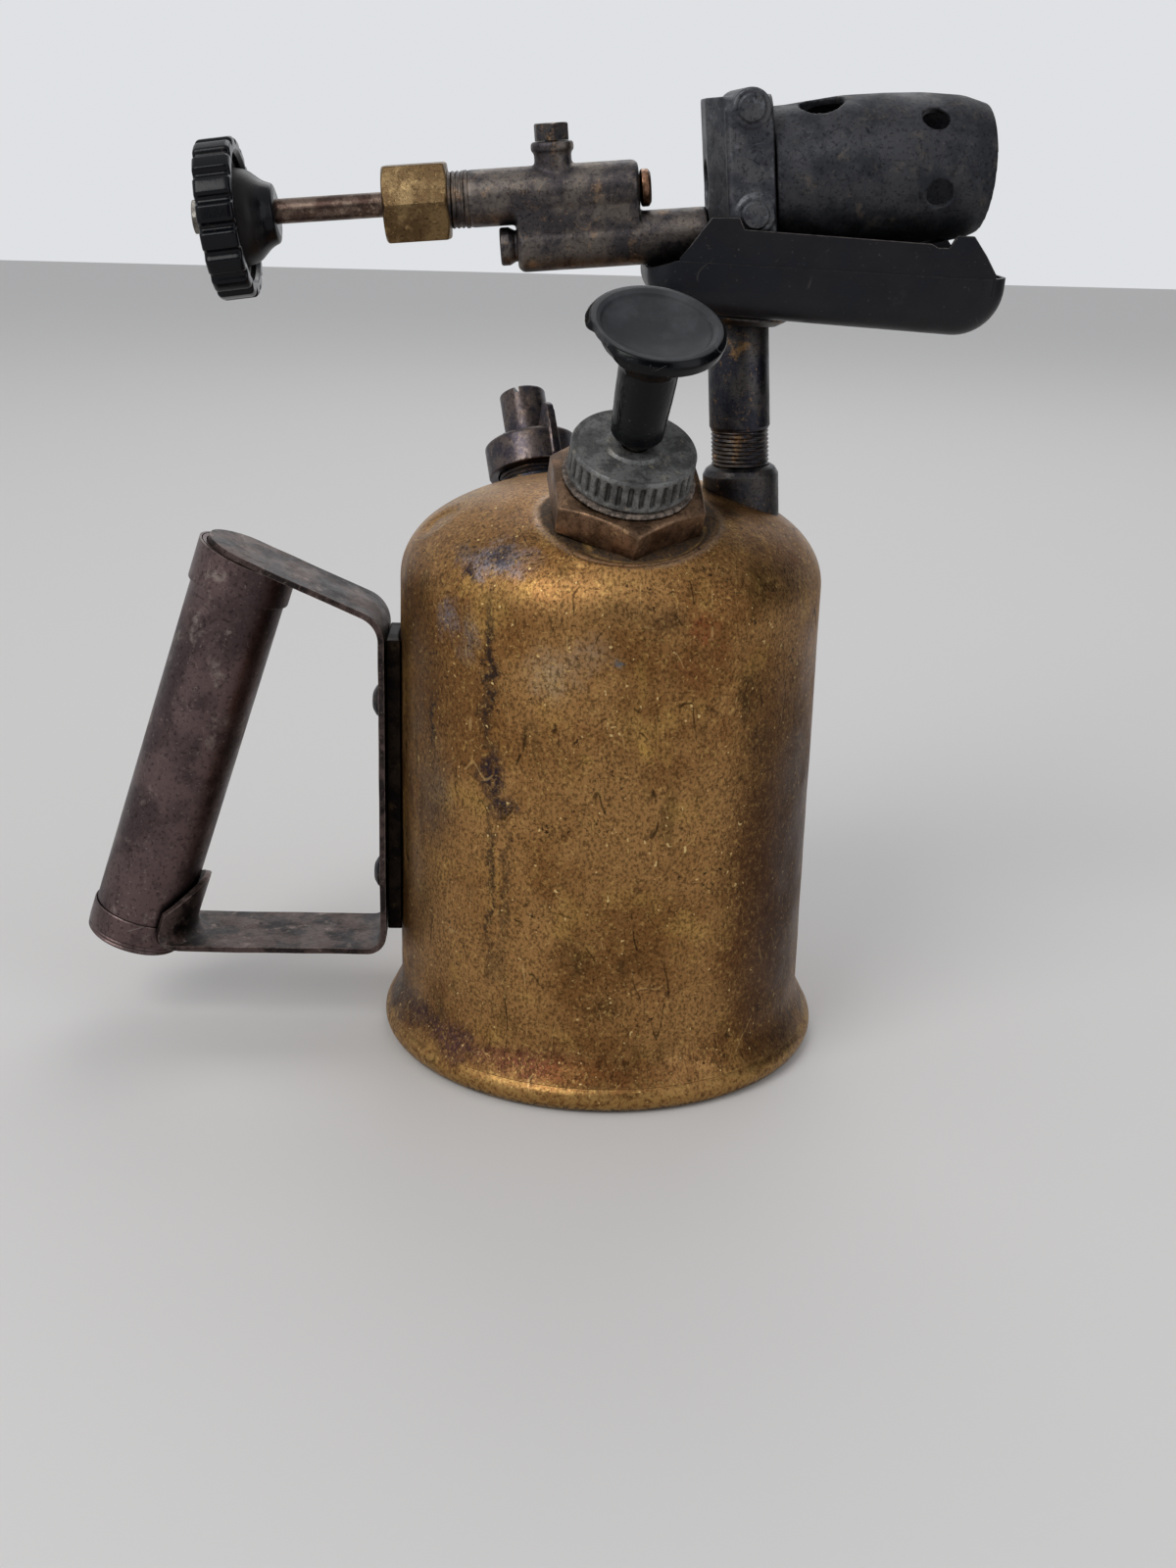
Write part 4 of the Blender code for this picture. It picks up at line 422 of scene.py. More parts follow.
def grime_and_shade(tree, reach, low, high):
    """1 deep in the corners that little open sky reaches: where grime collects, and where shade falls, so
    colour laid through it is partly painted shade.
    """
    open_sky = add(tree, "AmbientOcclusion", {"Distance": reach * MM}, samples=6)
    return add(tree, "MapRange", {0: open_sky.outputs["AO"], 1: high, 2: low},
               interpolation_type='SMOOTHSTEP')


def coated(tree, tint, *coats):
    """Lay coats over a colour, each given as its own colour, its mask or its patches, and its amount."""
    if isinstance(tint, str):
        tint = colour(tint)
    for top, mask, amount in coats:
        if isinstance(mask, tuple):
            mask = patches(tree, *mask)
        if amount < 1:
            mask = meet(tree, mask, amount)
        tint = add(tree, "Mix", {0: mask, 6: tint, 7: colour(top)}, data_type='RGBA')
    return tint


def at_wall(bearing, up):
    """A point on the tank's wall, by its bearing from the front and its height, in metres."""
    turn = math.radians(bearing)
    return LAMP @ Vector((WALL * math.sin(turn), -WALL * math.cos(turn), up))


def blot(tree, spot, turn, size, warp, soft):
    """A ragged blot about a point, with its width, depth and height in millimetres."""
    local = add(tree, "Mapping", {0: warp, 1: spot, 2: (0, 0, math.radians(turn)),
                                  3: [s * MM for s in size]}, vector_type='TEXTURE')
    reach = add(tree, "VectorMath", {0: local}, operation='LENGTH')
    return add(tree, "MapRange", {0: reach.outputs["Value"], 1: 1.15, 2: soft},
               interpolation_type='SMOOTHSTEP')


def warped(tree, size, amount):
    """Object coordinates pushed about by noise, for ragged outlines."""
    where = add(tree, "TexCoord").outputs["Object"]
    cloud = add(tree, "TexNoise", {"Vector": where, "Scale": 1 / (size * MM), "Detail": 6.0,
                                   "Roughness": 0.7})
    off = add(tree, "VectorMath", {0: cloud.outputs["Color"], 1: (0.5, 0.5, 0.5)}, operation='SUBTRACT')
    push = add(tree, "VectorMath", {0: off, "Scale": amount * MM}, operation='SCALE')
    return add(tree, "VectorMath", {0: where, 1: push}, operation='ADD')


def seen_from(tree, frame_axis, where):
    """Coordinates about one of the lamp's axes, in metres."""
    return add(tree, "Mapping", {0: where, 1: frame_axis.translation, 2: frame_axis.to_euler()},
               vector_type='TEXTURE')


# Stains on the tank: bearing from the front and height, size, colour, amount, softness
STAINS = (
    # The long drip, with its blotch half way down
    (-34, 112, (2.4, 40, 27), "2A2628", 0.95, 0.2), (-33, 58, (1.5, 40, 30), "322A26", 0.8, 0.3),
    (-32, 87, (4.6, 40, 9.0), "2B2630", 0.95, 0.4), (-29, 79, (4.4, 40, 4.2), "282734", 0.95, 0.3),
    (-28, 58, (1.5, 40, 26), "3A3028", 0.7, 0.2), (-31, 36, (4.0, 40, 8), "4A3C2C", 0.5, 0.0),
    # Blue grey smears on the shoulder and down the left; the pale ones stand partly for a painted milky sheen
    (-37, 139, (13, 40, 4.4), "8C8C9A", 0.85, 0.0), (-36, 140, (4.5, 40, 2.6), "30323F", 0.9, 0.1),
    (-43, 136, (3.6, 40, 1.7), "25242F", 0.95, 0.2), (-49, 140, (5, 40, 2.2), "4A444C", 0.7, 0.0),
    (-48, 124, (4.5, 40, 6), "8A8890", 0.7, 0.0), (-41, 120, (4, 40, 8), "85807E", 0.5, 0.0),
    (-55, 96, (1.2, 40, 11), "2E2A2C", 0.9, 0.2), (-53, 78, (9, 40, 16), "7E7468", 0.55, 0.0),
    (-17, 114, (9, 40, 8), "B0A088", 0.5, 0.0), (-8, 120, (8, 40, 5), "9A8C7C", 0.4, 0.0),
    # Small marks on the front
    (-1, 118, (1.3, 40, 1.3), "6A7278", 0.85, 0.3), (12, 128, (4.5, 40, 5), "4E3626", 0.75, 0.0),
    (21, 126, (5, 40, 3.5), "8A3C26", 0.65, 0.0), (26, 120, (4, 40, 4), "7E4A2E", 0.5, 0.0),
    (7, 97, (1.8, 40, 3.8), "D0A858", 0.7, 0.1), (-7, 94, (3.0, 40, 2.8), "C8A058", 0.6, 0.0),
    (6, 112, (3.0, 40, 12), "C09A54", 0.4, 0.0), (36, 108, (6, 40, 9), "2E261A", 0.75, 0.0),
    (41, 95, (7, 40, 6), "2E261A", 0.75, 0.0), (-8, 41, (6, 40, 8), "3E3220", 0.6, 0.0),
    (5, 40, (4, 40, 5), "3A2E20", 0.6, 0.0), (-1, 27, (6, 40, 4), "44351F", 0.55, 0.0),
    # Painted shade on the right side, in red brown
    (44, 56, (16, 40, 58), "4E2E1A", 0.85, 0.3), (62, 56, (14, 40, 64), "361F14", 0.9, 0.4),
    (80, 56, (14, 40, 66), "46322A", 0.8, 0.3),
    # Heat tints of the foot, and painted shade in the knock on the left shoulder
    (-80, 13, (16, 30, 9), "22232C", 0.9, 0.2), (-60, 13, (12, 30, 5), "402C36", 0.9, 0.2),
    (-44, 12, (15, 30, 5.0), "4C343C", 0.9, 0.2), (-22, 12, (16, 30, 4.8), "64382E", 0.9, 0.3),
    (-2, 11, (22, 30, 4), "84502E", 0.75, 0.1), (-80, 144, (4.5, 30, 3.0), "3E3224", 0.7, 0.0),
    (20, 11, (12, 30, 3), "6A4428", 0.55, 0.0),
    # The back and the far sides
    (150, 60, (20, 40, 40), "4A3426", 0.6, 0.0), (-140, 100, (24, 40, 22), "5A4326", 0.6, 0.0),
    (110, 112, (18, 40, 16), "6A5034", 0.6, 0.0), (-100, 70, (10, 40, 62), "2E241E", 0.75, 0.0),
    (175, 120, (3, 40, 18), "2A2624", 0.7, 0.1), (130, 30, (16, 40, 14), "7A5A34", 0.6, 0.0),
)


def tank_brass():
    """Drawn brass sheet under decades of oil and oxide: brown gold, satin, speckled, dripped on."""
    material, tree = begin("Drawn brass, oxidised", 0.42, 1.0)
    warp = warped(tree, 7.0, 15.0)
    broken = add(tree, "MapRange", {0: patches(tree, 1.5, 0.36, 0.56, 4.0, 40.0), 3: 0.42, 4: 1.0})
    tint = coated(tree, "A87E4E",
        ("865E36", (34, 0.40, 0.62, 6.0, 4.0), 1),
        ("BC9454", (14, 0.52, 0.70, 6.0, 9.0), 0.6),
        ("865232", (22, 0.58, 0.72, 6.0, 15.0), 0.4),
        ("5A4526", (9, 0.56, 0.68, 6.0, 1.0, (1, 1, 0.28)), 0.55))
    for bearing, up, size, shade, amount, soft in STAINS:
        mask = meet(tree, blot(tree, at_wall(bearing, up), bearing, size, warp, soft), broken)
        tint = coated(tree, tint, (shade, mask, amount))
    pits = meet(tree, patches(tree, 1.3, 0.60, 0.66, 3.0, 31.0), patches(tree, 20, 0.50, 0.62, 3.0, 33.0))
    tint = coated(tree, tint,
        # Etched grain of the sheet: about half a millimetre on the real tank, which is too fine to show,
        # so it is drawn at about one
        ("3E2A18", (0.8, 0.44, 0.62, 3.0, 5.0, (1.1, 1.1, 0.9)), 0.66),
        ("D2AC68", (1.1, 0.54, 0.68, 4.0, 21.0), 0.45),
        # Painted glints: sparse bright specks that stand for sparkle off the grain
        ("E8C88A", (1.5, 0.735, 0.75, 1.0, 26.0), 0.8),
        # Scratches, most of them upright, and pits of black oxide
        ("241A12", hairlines(tree, 24, 0.006, (1, 1, 0.35), 0.4, 0.54), 0.75),
        ("2A1D12", hairlines(tree, 16, 0.006, (1.2, 1.2, 0.5), 7.7, 0.54), 0.7),
        ("2A1D12", hairlines(tree, 12, 0.009, (0.6, 0.6, 1.6), 2.6), 0.6),
        ("D8B478", hairlines(tree, 20, 0.004, (1, 1, 0.4), 5.2, 0.54), 0.4),
        ("241C16", pits, 0.85),
        # Painted shade on the right side, in red brown, laid over its grain
        ("40281A", blot(tree, at_wall(56, 56), 56, (23, 40, 68), warp, 0.3), 0.6))

    # How far a point lies from the lip of the pump's seat, which grime has filled, and along which a
    # highlight is painted
    lip = 0.0232
    local = seen_from(tree, PUMP, warped(tree, 3.0, 2.0))
    flat = add(tree, "VectorMath", {0: local, 1: (-0.0013, 0, 0)}, operation='ADD')
    flat = add(tree, "VectorMath", {0: flat, 1: (1, 1, 1.5)}, operation='MULTIPLY')
    reach = add(tree, "VectorMath", {0: flat}, operation='LENGTH').outputs["Value"]
    grime = add(tree, "MapRange", {0: reach, 1: lip, 2: 0.0214}, interpolation_type='SMOOTHSTEP')
    packed = add(tree, "MapRange", {0: patches(tree, 1.2, 0.4, 0.6, 4.0, 71.0), 3: 0.7, 4: 1.0})
    past = add(tree, "Math", {0: reach, 1: lip}, operation='SUBTRACT')
    from_lip = add(tree, "Math", {0: past}, operation='ABSOLUTE')
    # Painted highlight along the seat's lip
    rubbed = add(tree, "MapRange", {0: from_lip, 1: 0.0014, 2: 0.0002})

    # Bands of the wall by height: the shoulder, the draw marks above the rim, and the worn foot
    height = add(tree, "SeparateXYZ", {0: warp}).outputs["Z"]
    crown = add(tree, "MapRange", {0: height, 1: 0.120, 2: 0.136}, interpolation_type='SMOOTHSTEP')
    freckle = meet(tree, patches(tree, 1.1, 0.58, 0.64, 4.0, 51.0), patches(tree, 9, 0.47, 0.56, 3.0, 53.0))
    foot = add(tree, "MapRange", {0: height, 1: 0.0085, 2: 0.0050}, interpolation_type='SMOOTHSTEP')
    draw = meet(tree, add(tree, "MapRange", {0: height, 1: 0.019, 2: 0.014}),
                add(tree, "MapRange", {0: height, 1: 0.007, 2: 0.009}),
                patches(tree, 1.5, 0.54, 0.62, 2.0, 61.0, (1, 1, 0.16)))
    tint = coated(tree, tint,
        ("4A423C", meet(tree, grime, packed), 0.95),
        # Painted highlight along the seat's lip
        ("A8988A", rubbed, 0.3),
        # Grime and painted shade in the corners by the fittings, from ambient occlusion
        ("1E1712", grime_and_shade(tree, 5.0, 0.25, 0.72), 0.85),
        ("1F1A18", meet(tree, crown, freckle), 0.8),
        ("B08C54", meet(tree, foot, patches(tree, 1.3, 0.42, 0.56, 5.0, 57.0)), 0.7),
        ("C09A60", worn_edges(tree, 0.8, 0.90, 0.99), 0.6),
        ("3E2818", draw, 0.45))
    rough = add(tree, "MapRange", {0: patches(tree, 18, 0.38, 0.66, 6.0, 12.0), 3: 0.40, 4: 0.58})
    rough = add(tree, "MapRange", {0: grime, 3: rough, 4: 0.72})
    fine = patches(tree, 0.9, 0.25, 0.75, 3.0, 7.0)
    broad = patches(tree, 5.0, 0.2, 0.8, 4.0, 8.0)
    return finished(material, tint, rough, 0.05, (fine, 0.45), (broad, 0.8), (pits, -0.7), (draw, -0.8))


def old_metal(name, shades, rough, cloud, speck, depth, edge=0.7, metallic=1.0, grime=0.8, scuff=0.5,
              nook=(3.0, 0.2, 0.65)):
    """Old metal in four shades: its body, a deeper cloud, the bright rubbed edge, and grime, which also
    stands for painted shade in its corners.

    The nook is the reach of a corner that is darkened, by grime and by painted shade, in millimetres, and its
    shares of open sky; grime is how strongly that corner is darkened.
    """
    body, deep, bright, dirt = shades.split()
    material, tree = begin(name, rough[0], metallic)
    tint = coated(tree, body,
        (deep, (cloud, 0.42, 0.58, 7.0, 3.0), 1),
        (bright, (cloud * 0.5, 0.57, 0.70, 7.0, 8.0), scuff),
        (dirt, (speck * 1.8, 0.52, 0.64, 4.0, 11.0), 0.5),
        (bright, (speck * 1.8, 0.62, 0.70, 3.0, 23.0), scuff * 0.6),
        (bright, hairlines(tree, cloud * 2, 0.005, (1, 0.7, 1.2), 1.7), scuff * 0.5),
        (dirt, hairlines(tree, cloud * 1.5, 0.008, (0.7, 1, 0.8), 4.1), 0.5),
        (bright, worn_edges(tree, 0.45, 0.86, 0.985), edge),
        # Grime and painted shade in the corners, from ambient occlusion
        (dirt, grime_and_shade(tree, *nook), grime))
    uneven = add(tree, "MapRange", {0: patches(tree, cloud * 0.8, 0.38, 0.64, 6.0, 17.0),
                                    3: rough[0], 4: rough[1]})
    fine = patches(tree, speck, 0.25, 0.75, 3.0, 13.0)
    broad = patches(tree, speck * 6, 0.2, 0.8, 3.0, 14.0)
    return finished(material, tint, uneven, depth, (fine, 0.5), (broad, 0.7))


# Drawn brass sheet with a lifetime of oxide: brown gold, satin, stained and scratched
brass = tank_brass()
# Machined brass gone brown in the hand, golden again on its rubbed corners
nut_brass = old_metal("Machined brass, brown", "846852 5E4A3A C4A074 1E1712", (0.34, 0.52), 7, 0.5, 0.03,
                      0.85, grime=0.5, scuff=0.6)
# Gland nut brass, spanner rubbed: the brightest metal on the lamp
gland_brass = old_metal("Machined brass, rubbed", "826C4C 604C34 DDBC84 1E1710", (0.30, 0.46), 9, 0.5,
                        0.03, 0.9, grime=0.6, scuff=0.4)
# Brass strip behind the strap, under soot, and darkened further as painted shade from the strap
pad_brass_soot_and_shade = old_metal("Brass strip, sooty", "241D18 141110 5A4832 0A0909", (0.55, 0.7), 8, 0.6, 0.03, 0.4,
                      scuff=0.3)
# Bronze tube and socket, blued and blackened by heat, with golden brown rubs
dark_bronze = old_metal("Bronze, heat blackened", "4A4644 303138 AC8454 131217", (0.34, 0.52), 9, 0.45,
                        0.035, 0.4, grime=0.6, scuff=0.6)
# Cast bronze valve under soot: grey brown, coppery where it has been handled
valve_bronze = old_metal("Cast bronze, sooty brown", "6C645E 464244 A8896A 17151A", (0.38, 0.55), 10, 0.5,
                         0.045, 0.5, grime=0.75, scuff=0.5)
# Cast bronze cap: chocolate oxide with blue grey streaks
brown_bronze = old_metal("Bronze, chocolate oxide", "5E5450 403C42 9C8474 181416", (0.30, 0.46), 6, 0.5,
                         0.03, 0.7, grime=0.6, scuff=0.5)
# Die cast zinc under its own dull oxide, half metal and half stone to the eye, with brassy rubs on its crown
zinc = old_metal("Zinc alloy, oxidised", "70706E 4C4C4B B0A48C 17130F", (0.42, 0.6), 5, 0.4, 0.03, 0.7,
                 metallic=0.45, grime=0.95, scuff=0.45, nook=(2.2, 0.45, 0.88))
# Copper alloy nipple, warmed brown
copper = old_metal("Copper alloy, heat browned", "94705A 58402F D0A078 1C1310", (0.30, 0.45), 3, 0.35,
                   0.02, 0.7)
# Grey iron burnt black in the flame: matt, sooty, dusted brown where it has been scraped
iron = old_metal("Grey iron, burnt black", "48484B 37383C 7E7062 141519", (0.55, 0.72), 12, 0.5, 0.05,
                 0.45, grime=0.8, scuff=0.32)
# The same iron farther from the flame: greyer, with a rubbed blue grey ridge
block_iron = old_metal("Grey iron, greyed", "5A5A5C 424348 94979E 121216", (0.45, 0.62), 8, 0.5, 0.06,
                       0.7, grime=0.8, scuff=0.35)
# Strap steel whose black has rubbed through to rust brown
strap_steel = old_metal("Strap steel, black rubbed to rust", "574A46 2E2929 9A8880 100E0E", (0.40, 0.58),
                        11, 0.7, 0.035, 0.9, grime=0.6, scuff=0.5)
# Rolled steel tube, purple brown oxide, greyed where the palm rubs
grip_steel = old_metal("Steel tube, purple brown oxide", "645352 4A3D3E AEA298 150F10", (0.34, 0.50), 20,
                       0.6, 0.03, 0.6, grime=0.75, scuff=0.45)
# Spindle steel, straw brown from the burner's heat
spindle_steel = old_metal("Spindle steel, heat browned", "6E5E54 4A3A34 A08C7A 1E1917", (0.30, 0.45), 5,
                          0.4, 0.02, 0.5)
# Bright drawn steel
steel = old_metal("Drawn steel", "7A7670 5A5651 9A958E 26221E", (0.28, 0.42), 6, 0.4, 0.015, 0.4)


def stoved_black():
    """Pressed mild steel under stoved black: smooth, blue black, rubbed to grey on its upper edges."""
    material, tree = begin("Sheet steel, stoved black", 0.42, 0.0, Specular_IOR_Level=0.22)
    where = add(tree, "TexCoord").outputs["Object"]
    up = add(tree, "SeparateXYZ", {0: seen_from(tree, PAN, where)}).outputs["Z"]
    upper = add(tree, "MapRange", {0: up, 1: 0.0150, 2: 0.0165})
    edge = worn_edges(tree, 0.45, 0.84, 0.98)
    tint = coated(tree, "101218",
        ("161418", (24, 0.42, 0.60, 5.0, 3.0), 1),
        ("262324", (7, 0.62, 0.72, 7.0, 6.0), 0.5),
        ("4A4642", (1.0, 0.68, 0.73, 2.0, 9.0), 0.5),
        ("5A5550", hairlines(tree, 26, 0.004, (1, 1, 1), 2.2), 0.2),
        ("8A827A", meet(tree, edge, upper), 0.95),
        ("3E3B3A", edge, 0.5),
        # Painted shade, with grime, in the corners, from ambient occlusion
        ("0A0A0C", grime_and_shade(tree, 3.0, 0.2, 0.65), 0.8))
    rough = add(tree, "MapRange", {0: patches(tree, 12, 0.38, 0.64, 6.0, 17.0), 3: 0.36, 4: 0.50})
    fine = patches(tree, 0.9, 0.25, 0.75, 3.0, 13.0)
    broad = patches(tree, 9.0, 0.2, 0.8, 3.0, 14.0)
    return finished(material, tint, rough, 0.05, (fine, 0.25), (broad, 1.0))


black_steel = stoved_black()


def moulded(name, body, dust, rub_and_highlight, dust_and_sheen, around, hollow):
    """Phenolic moulding: glossy black, rubbed on its edges with a painted highlight there, with dust and a
    painted grey sheen in a hollow of its face, and painted shade in its deep corners.

    The hollow is given by its reach from the axis and by its heights, without dust and sheen and with them.
    """
    gloss = 0.16
    material, tree = begin(name, gloss, 0.0, Specular_IOR_Level=0.16)
    where = add(tree, "TexCoord").outputs["Object"]
    local = seen_from(tree, around, where)
    flat = add(tree, "VectorMath", {0: local, 1: (1, 1, 0)}, operation='MULTIPLY')
    reach = add(tree, "VectorMath", {0: flat}, operation='LENGTH').outputs["Value"]
    up = add(tree, "SeparateXYZ", {0: local}).outputs["Z"]
    out, bare, full = hollow
    face = meet(tree, add(tree, "MapRange", {0: up, 1: bare, 2: full}),
                add(tree, "MapRange", {0: reach, 1: out, 2: out - 0.0006}))
    lying = add(tree, "MapRange", {0: patches(tree, 8, 0.40, 0.70, 6.0, 2.0), 3: 0.6, 4: 1.0})
    tint = coated(tree, body,
        # Dust in the hollow, with a painted grey sheen
        (dust, meet(tree, face, lying), dust_and_sheen),
        (dust, (1.1, 0.66, 0.72, 3.0, 6.0), 0.5),
        # Painted shade: the body's black laid back over the dust in deep corners, darkest under the dish's
        # inner rim
        (body, grime_and_shade(tree, 14.0, 0.55, 0.95), 0.6),
        # Rubbed edges, with a painted highlight along them
        (rub_and_highlight, worn_edges(tree, 0.4, 0.90, 0.99), 0.6),
        (dust, hairlines(tree, 12, 0.007, (1, 1, 1), 3.3), 0.5))
    rough = add(tree, "MapRange", {0: patches(tree, 6, 0.4, 0.7, 5.0, 4.0), 3: gloss, 4: gloss + 0.12})
    rough = add(tree, "MapRange", {0: face, 3: rough, 4: 0.5})
    fine = patches(tree, 0.7, 0.3, 0.7, 3.0, 9.0)
    broad = patches(tree, 5.0, 0.2, 0.8, 3.0, 10.0)
    return finished(material, tint, rough, 0.02, (fine, 0.3), (broad, 0.7))


# Phenolic moulding, glossy on its stem and rolled rim, satin in the dish, with dust and a painted grey sheen
# there
ebonite = moulded("Phenolic, satin black", "08090B", "4A4B4D", "7A7672", 0.8, PUMP, (0.0152, 0.0468, 0.0478))
# Phenolic moulding, glossy, with brown grime between the hub and the rim
wheel_plastic = moulded("Phenolic, gloss black", "0A0B0F", "3A302A", "7A7068", 0.5, WHEEL,
                        (0.0150, 0.0050, -0.0010))


def soft_stuff(name, body, deep, size, rough):
    """Matt fibre or leather, mottled along its grain."""
    material, tree = begin(name, rough, 0.0)
    fine = patches(tree, size / 6, 0.3, 0.7, 3.0, 3.0)
    tint = coated(tree, body, (deep, (size, 0.4, 0.6, 5.0), 1), (deep, (size / 6, 0.5, 0.6, 2.0), 0.6))
    uneven = add(tree, "MapRange", {0: fine, 3: rough - 0.05, 4: rough + 0.1})
    return finished(material, tint, uneven, 0.06, (fine, 1.0))


# Vulcanised fibre joint, oily and frayed
fibre = soft_stuff("Vulcanised fibre, oily", "85766A", "3E352E", 1.6, 0.7)
# Pump cup and valve pads of greased leather
leather = soft_stuff("Greased leather", "4B3323", "2A1B12", 1.5, 0.65)


# Tank: drawn brass shell with a superellipse dome, a flared foot and a rolled rim

def dome_up(out):
    """Height of the dome at a radius."""
    return SHOULDER + DOME_RISE * max(0.0, 1 - (out / WALL) ** DOME_POWER) ** (1 / DOME_POWER)


def dome_section(radius, rise, steps):
    """The dome's section, from its crown to its shoulder."""
    angles = [math.pi / 2 * i / steps for i in range(steps + 1)]
    return [(radius * math.sin(angle) ** (2 / DOME_POWER),
             SHOULDER + rise * max(0.0, math.cos(angle)) ** (2 / DOME_POWER)) for angle in angles]


# Knocks in the tank: place, height of the point on the axis that it is pushed towards, depth, reach
KNOCKS = (((-45.2, -8.5, 143.4), 110, 2.8, 8.0), ((-30.0, -46.5, 129.0), 110, 0.7, 12.0),
          ((18.0, -52.0, 112.0), 100, 0.45, 16.0))


def make_tank():
    """The shell, with the pump's pressed seat and the knocks of long use."""
    bead, bead_out = 4.0, 55.6
    inner = WALL - BRASS_SHEET
    section = dome_section(WALL, DOME_RISE, 56)
    section += rounded([(WALL, SHOULDER), (WALL, 14.0, 12.0), (58.4, 7.2)], steps=10)[1:]
    # The rolled rim, worn flat where it stands
    section += arc(bead_out, bead, bead, 48, -84, 11) + arc(bead_out, bead, bead, -102, -222, 10)
    section += [(inner, 10.0)] + list(reversed(dome_section(inner, DOME_RISE - BRASS_SHEET, 10)))
    bm = turned(section, 300, pitch=1.6)
    seat = LAMP.inverted() @ PUMP
    to_seat = seat.inverted()
    flat, lip = 20.6, 22.9  # radii of the pump's pressed seat, with a faint swelling outside it
    near = set()
    for face in bm.faces:
        spot = to_seat @ face.calc_center_median()
        if 18.5 < math.hypot(spot.x, spot.y) < 26 and -4 < spot.z < 6:
            near.add(face)
    ring = [edge for edge in bm.edges if near.intersection(edge.link_faces)]
    bmesh.ops.subdivide_edges(bm, edges=ring, cuts=2, use_grid_fill=True)
    for vert in bm.verts:
        co = vert.co.copy()
        out = math.hypot(co.x, co.y)
        if co.z > 20 and out < WALL - 0.7 and co.z < dome_up(out) - 0.6:
            continue  # the unseen inner face of the sheet
        if co.z > 12:
            soft = noise.noise(co / 34.0) * 0.22 + noise.noise(co / 11.0) * 0.07
            fade = smooth(12, 30, co.z)
            co += Vector((co.x, co.y, 0)).normalized() * soft * fade * smooth(10, 40, out)
            for knock, heart, depth, wide in KNOCKS:
                inwards = (Vector((0, 0, heart)) - co).normalized()
                co += inwards * depth * (1 - smooth(0, wide, (co - Vector(knock)).length))
        spot = to_seat @ co
        reach = math.hypot(spot.x, spot.y)
        if spot.z > 0 and reach < 23.6 and co.z > 100:
            spot.z *= smooth(flat, lip, reach)
            co = seat @ spot
        elif spot.z > -3 and 20 < reach < 27 and co.z > 100:
            co += (seat.to_3x3() @ Vector((0, 0, 1))) * 0.25 * smooth(27, 24, reach) * smooth(20, 23, reach)
        vert.co = co
    put("tank", bm, LAMP, brass, "tank_shell", sharp=50)
    base = turned([(0, 14.4), (46.7, 11.9, 6.0), (53.9, 11.4), (53.9, 10.5), (46.7, 10.5, 6.0), (0, 13.5)],
                  144, pitch=4.0)
    put("tank_base", base, LAMP, brass, "base_plate")


# Pump

